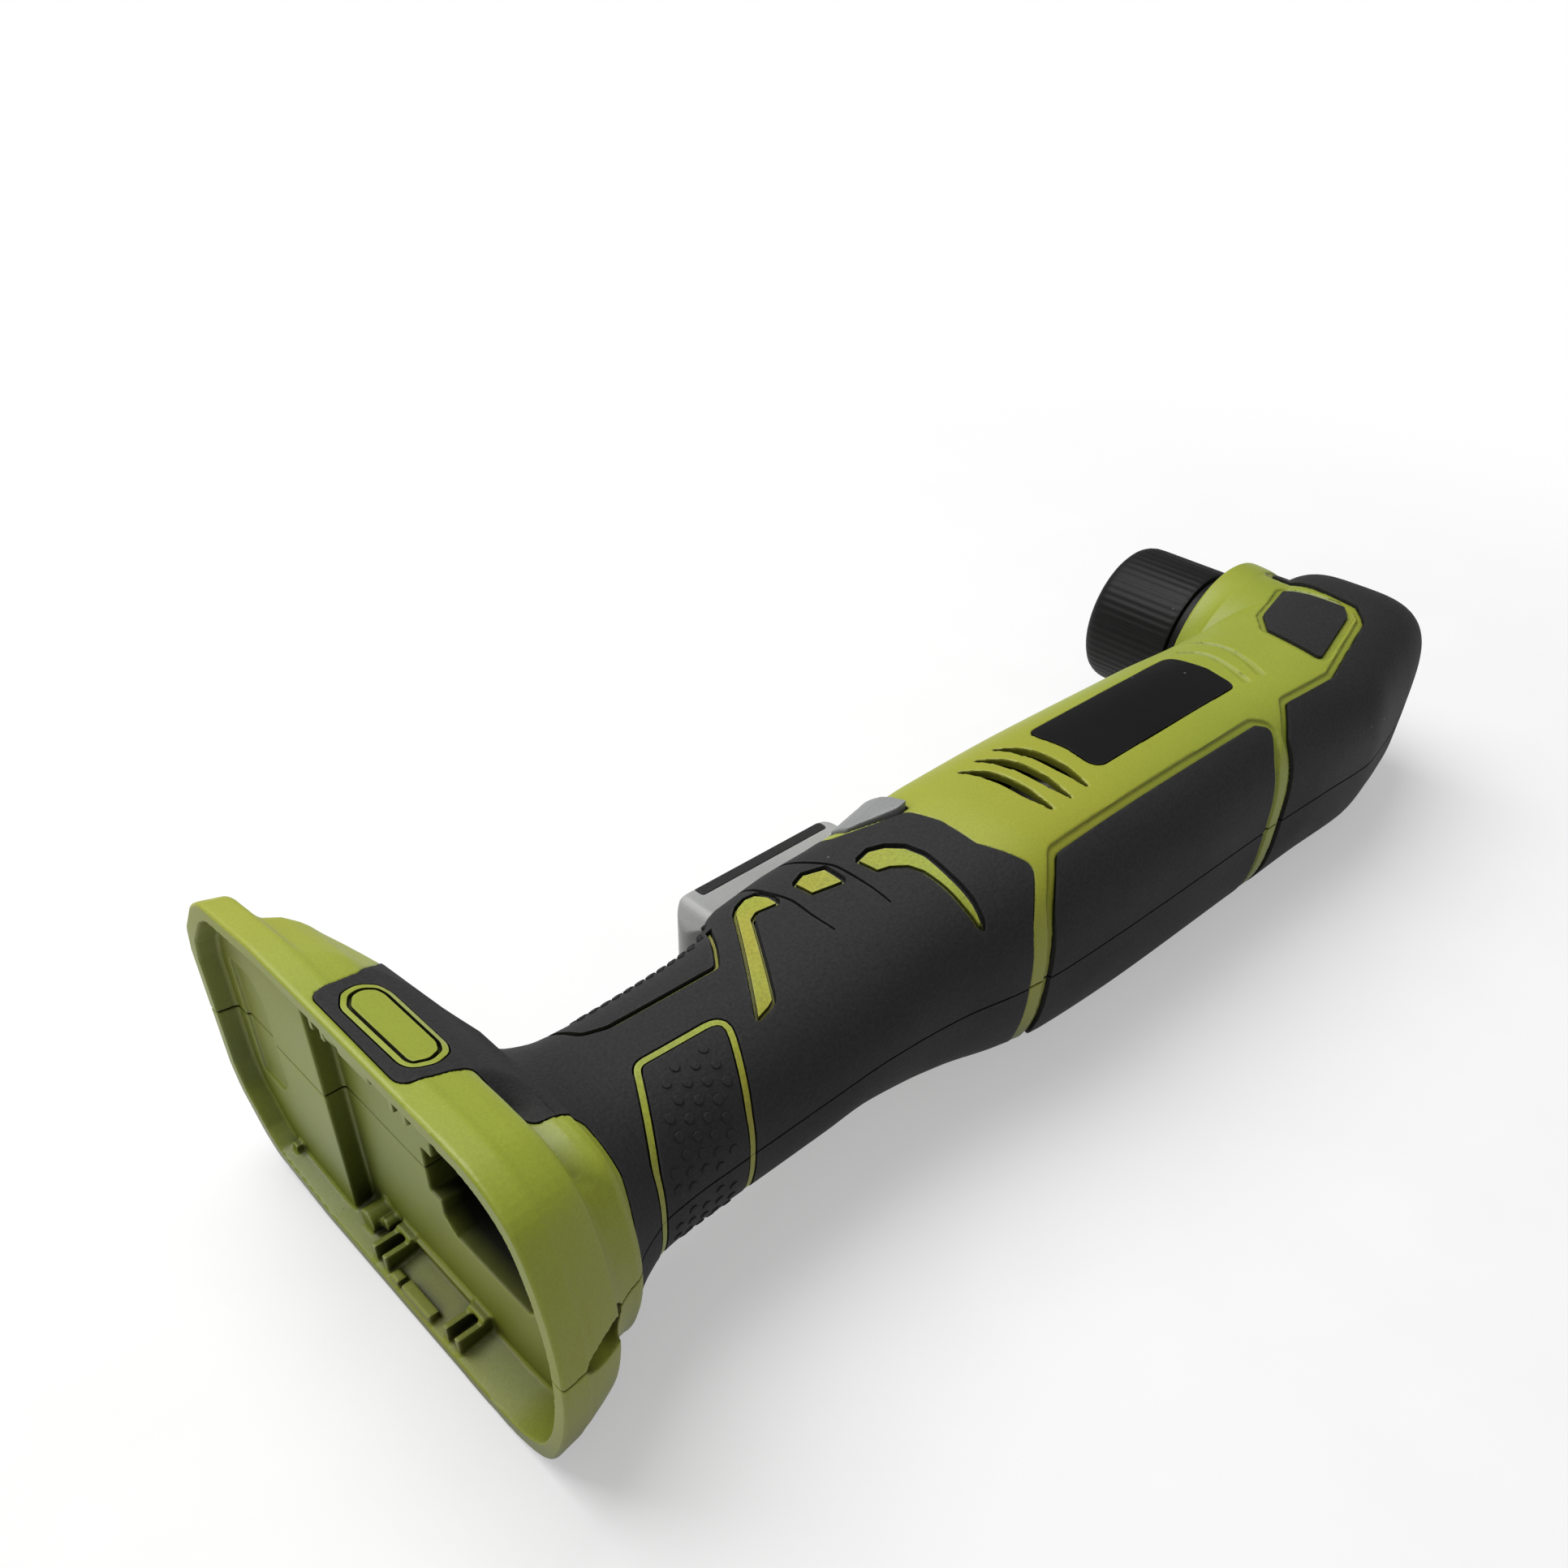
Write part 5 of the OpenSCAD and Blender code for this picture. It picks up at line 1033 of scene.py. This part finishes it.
button = loft([select_ring(SELECT_X, SELECT_FOOT),
               select_ring(SELECT_X + SELECT_LEN, SELECT_HEAD)])
button = meet(button, prism(side))
soften(button, FINE_VOXEL, 3, SOFT_KEEP)
bar = block((BAR_X[0], BAR_Y[0], -SELECT_IN - BAR_IN), (BAR_X[1], BAR_Y[1], SELECT_IN + BAR_IN))
selector = join(join(bar, mirrored(button)), button)
finish_piece(selector, "selector_switch", "selector", SELECT,
             ("direction_selector",))


# Chuck sleeve
FLUTES = 60
SLEEVE_N = 480


def turned(rows):
    """Rings about the spindle axis from rows of (y, r, flute depth)."""
    t = np.linspace(0, 2 * math.pi, SLEEVE_N, endpoint=False)
    c = np.cos(FLUTES * t)
    wave = 0.5 + 0.5 * np.sign(c) * np.abs(c) ** 0.5
    rings = []
    for y, r, depth in rows:
        rr = r - depth * wave
        rings.append(np.column_stack([SPINDLE_X + rr * np.cos(t), np.full(SLEEVE_N, y),
                                      rr * np.sin(t)]))
    return rings


def ring_piece(rows):
    """A closed ring turned about the spindle axis."""
    rings = turned(rows)
    n, m = SLEEVE_N, len(rings)
    faces = [(i * n + j, i * n + (j + 1) % n,
              ((i + 1) % m) * n + (j + 1) % n, ((i + 1) % m) * n + j)
             for i in range(m) for j in range(n)]
    return solid(np.vstack(rings), faces)


# sections of the sleeve outside and inside: y, radius and depth of the flutes
OUTSIDE = ((35.5, 18.3, 0), (35.7, 18.7, 0), (36.2, 18.85, 0.06), (37.0, 18.9, 0.11),
           (45, 18.9, 0.11), (56.0, 18.9, 0.11), (57.6, 18.8, 0.09), (58.8, 18.5, 0.06),
           (59.7, 18.0, 0.02), (60.4, 17.2, 0), (60.9, 16.2, 0), (61.2, 15.0, 0),
           (61.3, 13.5, 0), (61.3, 11.8, 0))
INSIDE = ((61.3, 10.4, 0), (60.05, 10.1, 0), (60.0, 14.1, 0), (48.25, 14.1, 0), (48.2, 16.5, 0),
          (35.5, 16.5, 0))
finish_piece(ring_piece(OUTSIDE + INSIDE), "sleeve_grip", "sleeve", BLACK,
             ("chuck_sleeve",))

# Camera, floor and light
# camera fitted to the photo: lens and shift, axes and place
LENS, SENSOR, SHIFT = 30.782, 36.0, (0.018024, 0.110594)
CAMERA_TURN = Matrix(((0.732413, 0.437923, -0.521339), (-0.680797, 0.481493, -0.551978),
                      (0.009297, 0.759202, 0.650789)))
CAMERA_PLACE = (-0.052776, -0.127636, 0.173566)
# floor: slope, reach and height; greys to the eye and as bounced light; white near the tool
FLOOR_SLOPE, FLOOR_REACH = 0.0362, 3.0
RIM_X, RIM_Z, FLOOR_CLEAR = 0.0025, -0.0346, 0.0004
FLOOR_Z = RIM_Z - FLOOR_SLOPE * RIM_X - FLOOR_CLEAR
FLOOR_GREYS, FLOOR_BOUNCE, NEAR_WHITE = (0.93, 0.96), 0.45, 0.4
# the floor fades to white between these distances from the middle of the tool
FADE, FADE_MIDDLE = (0.19, 0.42), (0.14, 0.0, -0.03)
# lamps: name, place, target, size and power; the world as light and to the eye
LAMPS = (("key", (-0.05, 0.5, 1.0), (0.14, 0.0, 0.0), 1.0, 14.5),
         ("fill", (-0.5, -0.5, 0.8), (0.12, 0.0, 0.0), 1.0, 0.7))
WORLD_LEVEL = (0.22, 1.0)

cam = bpy.data.cameras.new("camera")
cam.lens = LENS
cam.sensor_width = SENSOR
cam.shift_x, cam.shift_y = SHIFT
cam.clip_start = 0.005
cam_obj = bpy.data.objects.new("camera", cam)
scene.collection.objects.link(cam_obj)
cam_obj.matrix_world = Matrix.Translation(CAMERA_PLACE) @ CAMERA_TURN.to_4x4()
scene.camera = cam_obj

# the floor touches the foot rim and the head, so it slopes a little along the tool
CORNERS = ((-1, -1), (1, -1), (1, 1), (-1, 1))
floor_mesh = bpy.data.meshes.new("floor")
floor_mesh.from_pydata([(x * FLOOR_REACH, y * FLOOR_REACH, FLOOR_Z + FLOOR_SLOPE * x * FLOOR_REACH)
                        for x, y in CORNERS], [], [(0, 1, 2, 3)])
floor = bpy.data.objects.new("floor", floor_mesh)
scene.collection.objects.link(floor)
mat, nodes, links, bsdf = tree("floor_look")
coord = nodes.new("ShaderNodeTexCoord")
grainy = noise(nodes, links, coord, 40.0)
tone = ramp(nodes, ((0.3, grey(FLOOR_GREYS[0])), (0.7, grey(FLOOR_GREYS[1]))))
links.new(grainy.outputs["Fac"], tone.inputs["Fac"])
bsdf.inputs["Roughness"].default_value = 0.9
bsdf.inputs["Specular IOR Level"].default_value = 0.1
# away from the tool the floor fades to plain white, to the eye and in reflections
place = nodes.new("ShaderNodeNewGeometry")
middle = nodes.new("ShaderNodeVectorMath")
middle.operation = "DISTANCE"
middle.inputs[1].default_value = FADE_MIDDLE
links.new(place.outputs["Position"], middle.inputs[0])
away = nodes.new("ShaderNodeMapRange")
away.interpolation_type = "SMOOTHSTEP"
away.inputs["From Min"].default_value, away.inputs["From Max"].default_value = FADE
away.inputs["To Min"].default_value = NEAR_WHITE
links.new(middle.outputs["Value"], away.inputs["Value"])
path = nodes.new("ShaderNodeLightPath")
seen = path.outputs["Is Camera Ray"]
for kind in ("Is Glossy Ray", "Is Transmission Ray"):
    seen = join_max(nodes, links, seen, path.outputs[kind])
# as a source of bounced light it is a mid grey
links.new(mix(nodes, links, "MIX", seen, grey(FLOOR_BOUNCE), tone.outputs["Color"]),
          bsdf.inputs["Base Color"])
both = nodes.new("ShaderNodeMath")
both.operation = "MULTIPLY"
links.new(seen, both.inputs[0])
links.new(away.outputs["Result"], both.inputs[1])
white = nodes.new("ShaderNodeEmission")
white.inputs["Strength"].default_value = 1.0
blend = nodes.new("ShaderNodeMixShader")
links.new(both.outputs[0], blend.inputs[0])
links.new(bsdf.outputs[0], blend.inputs[1])
links.new(white.outputs[0], blend.inputs[2])
links.new(blend.outputs[0], nodes["Material Output"].inputs["Surface"])
floor_mesh.materials.append(mat)

for name, spot, target, size, power in LAMPS:
    lamp = bpy.data.lights.new(name, "AREA")
    lamp.energy, lamp.size = power, size
    obj = bpy.data.objects.new(name, lamp)
    obj.location = spot
    obj.rotation_euler = (Vector(target) - Vector(spot)).to_track_quat("-Z", "Y").to_euler()
    scene.collection.objects.link(obj)
world = bpy.data.worlds.new("world")
scene.world = world
world.use_nodes = True
background = world.node_tree.nodes["Background"]
background.inputs["Color"].default_value = (1.0, 1.0, 1.0, 1.0)
# the surround is white to the eye and dim as light
sight = world.node_tree.nodes.new("ShaderNodeLightPath")
level = world.node_tree.nodes.new("ShaderNodeMapRange")
level.inputs["To Min"].default_value, level.inputs["To Max"].default_value = WORLD_LEVEL
world.node_tree.links.new(sight.outputs["Is Camera Ray"], level.inputs["Value"])
world.node_tree.links.new(level.outputs["Result"], background.inputs["Strength"])
scene.view_settings.view_transform = "Standard"
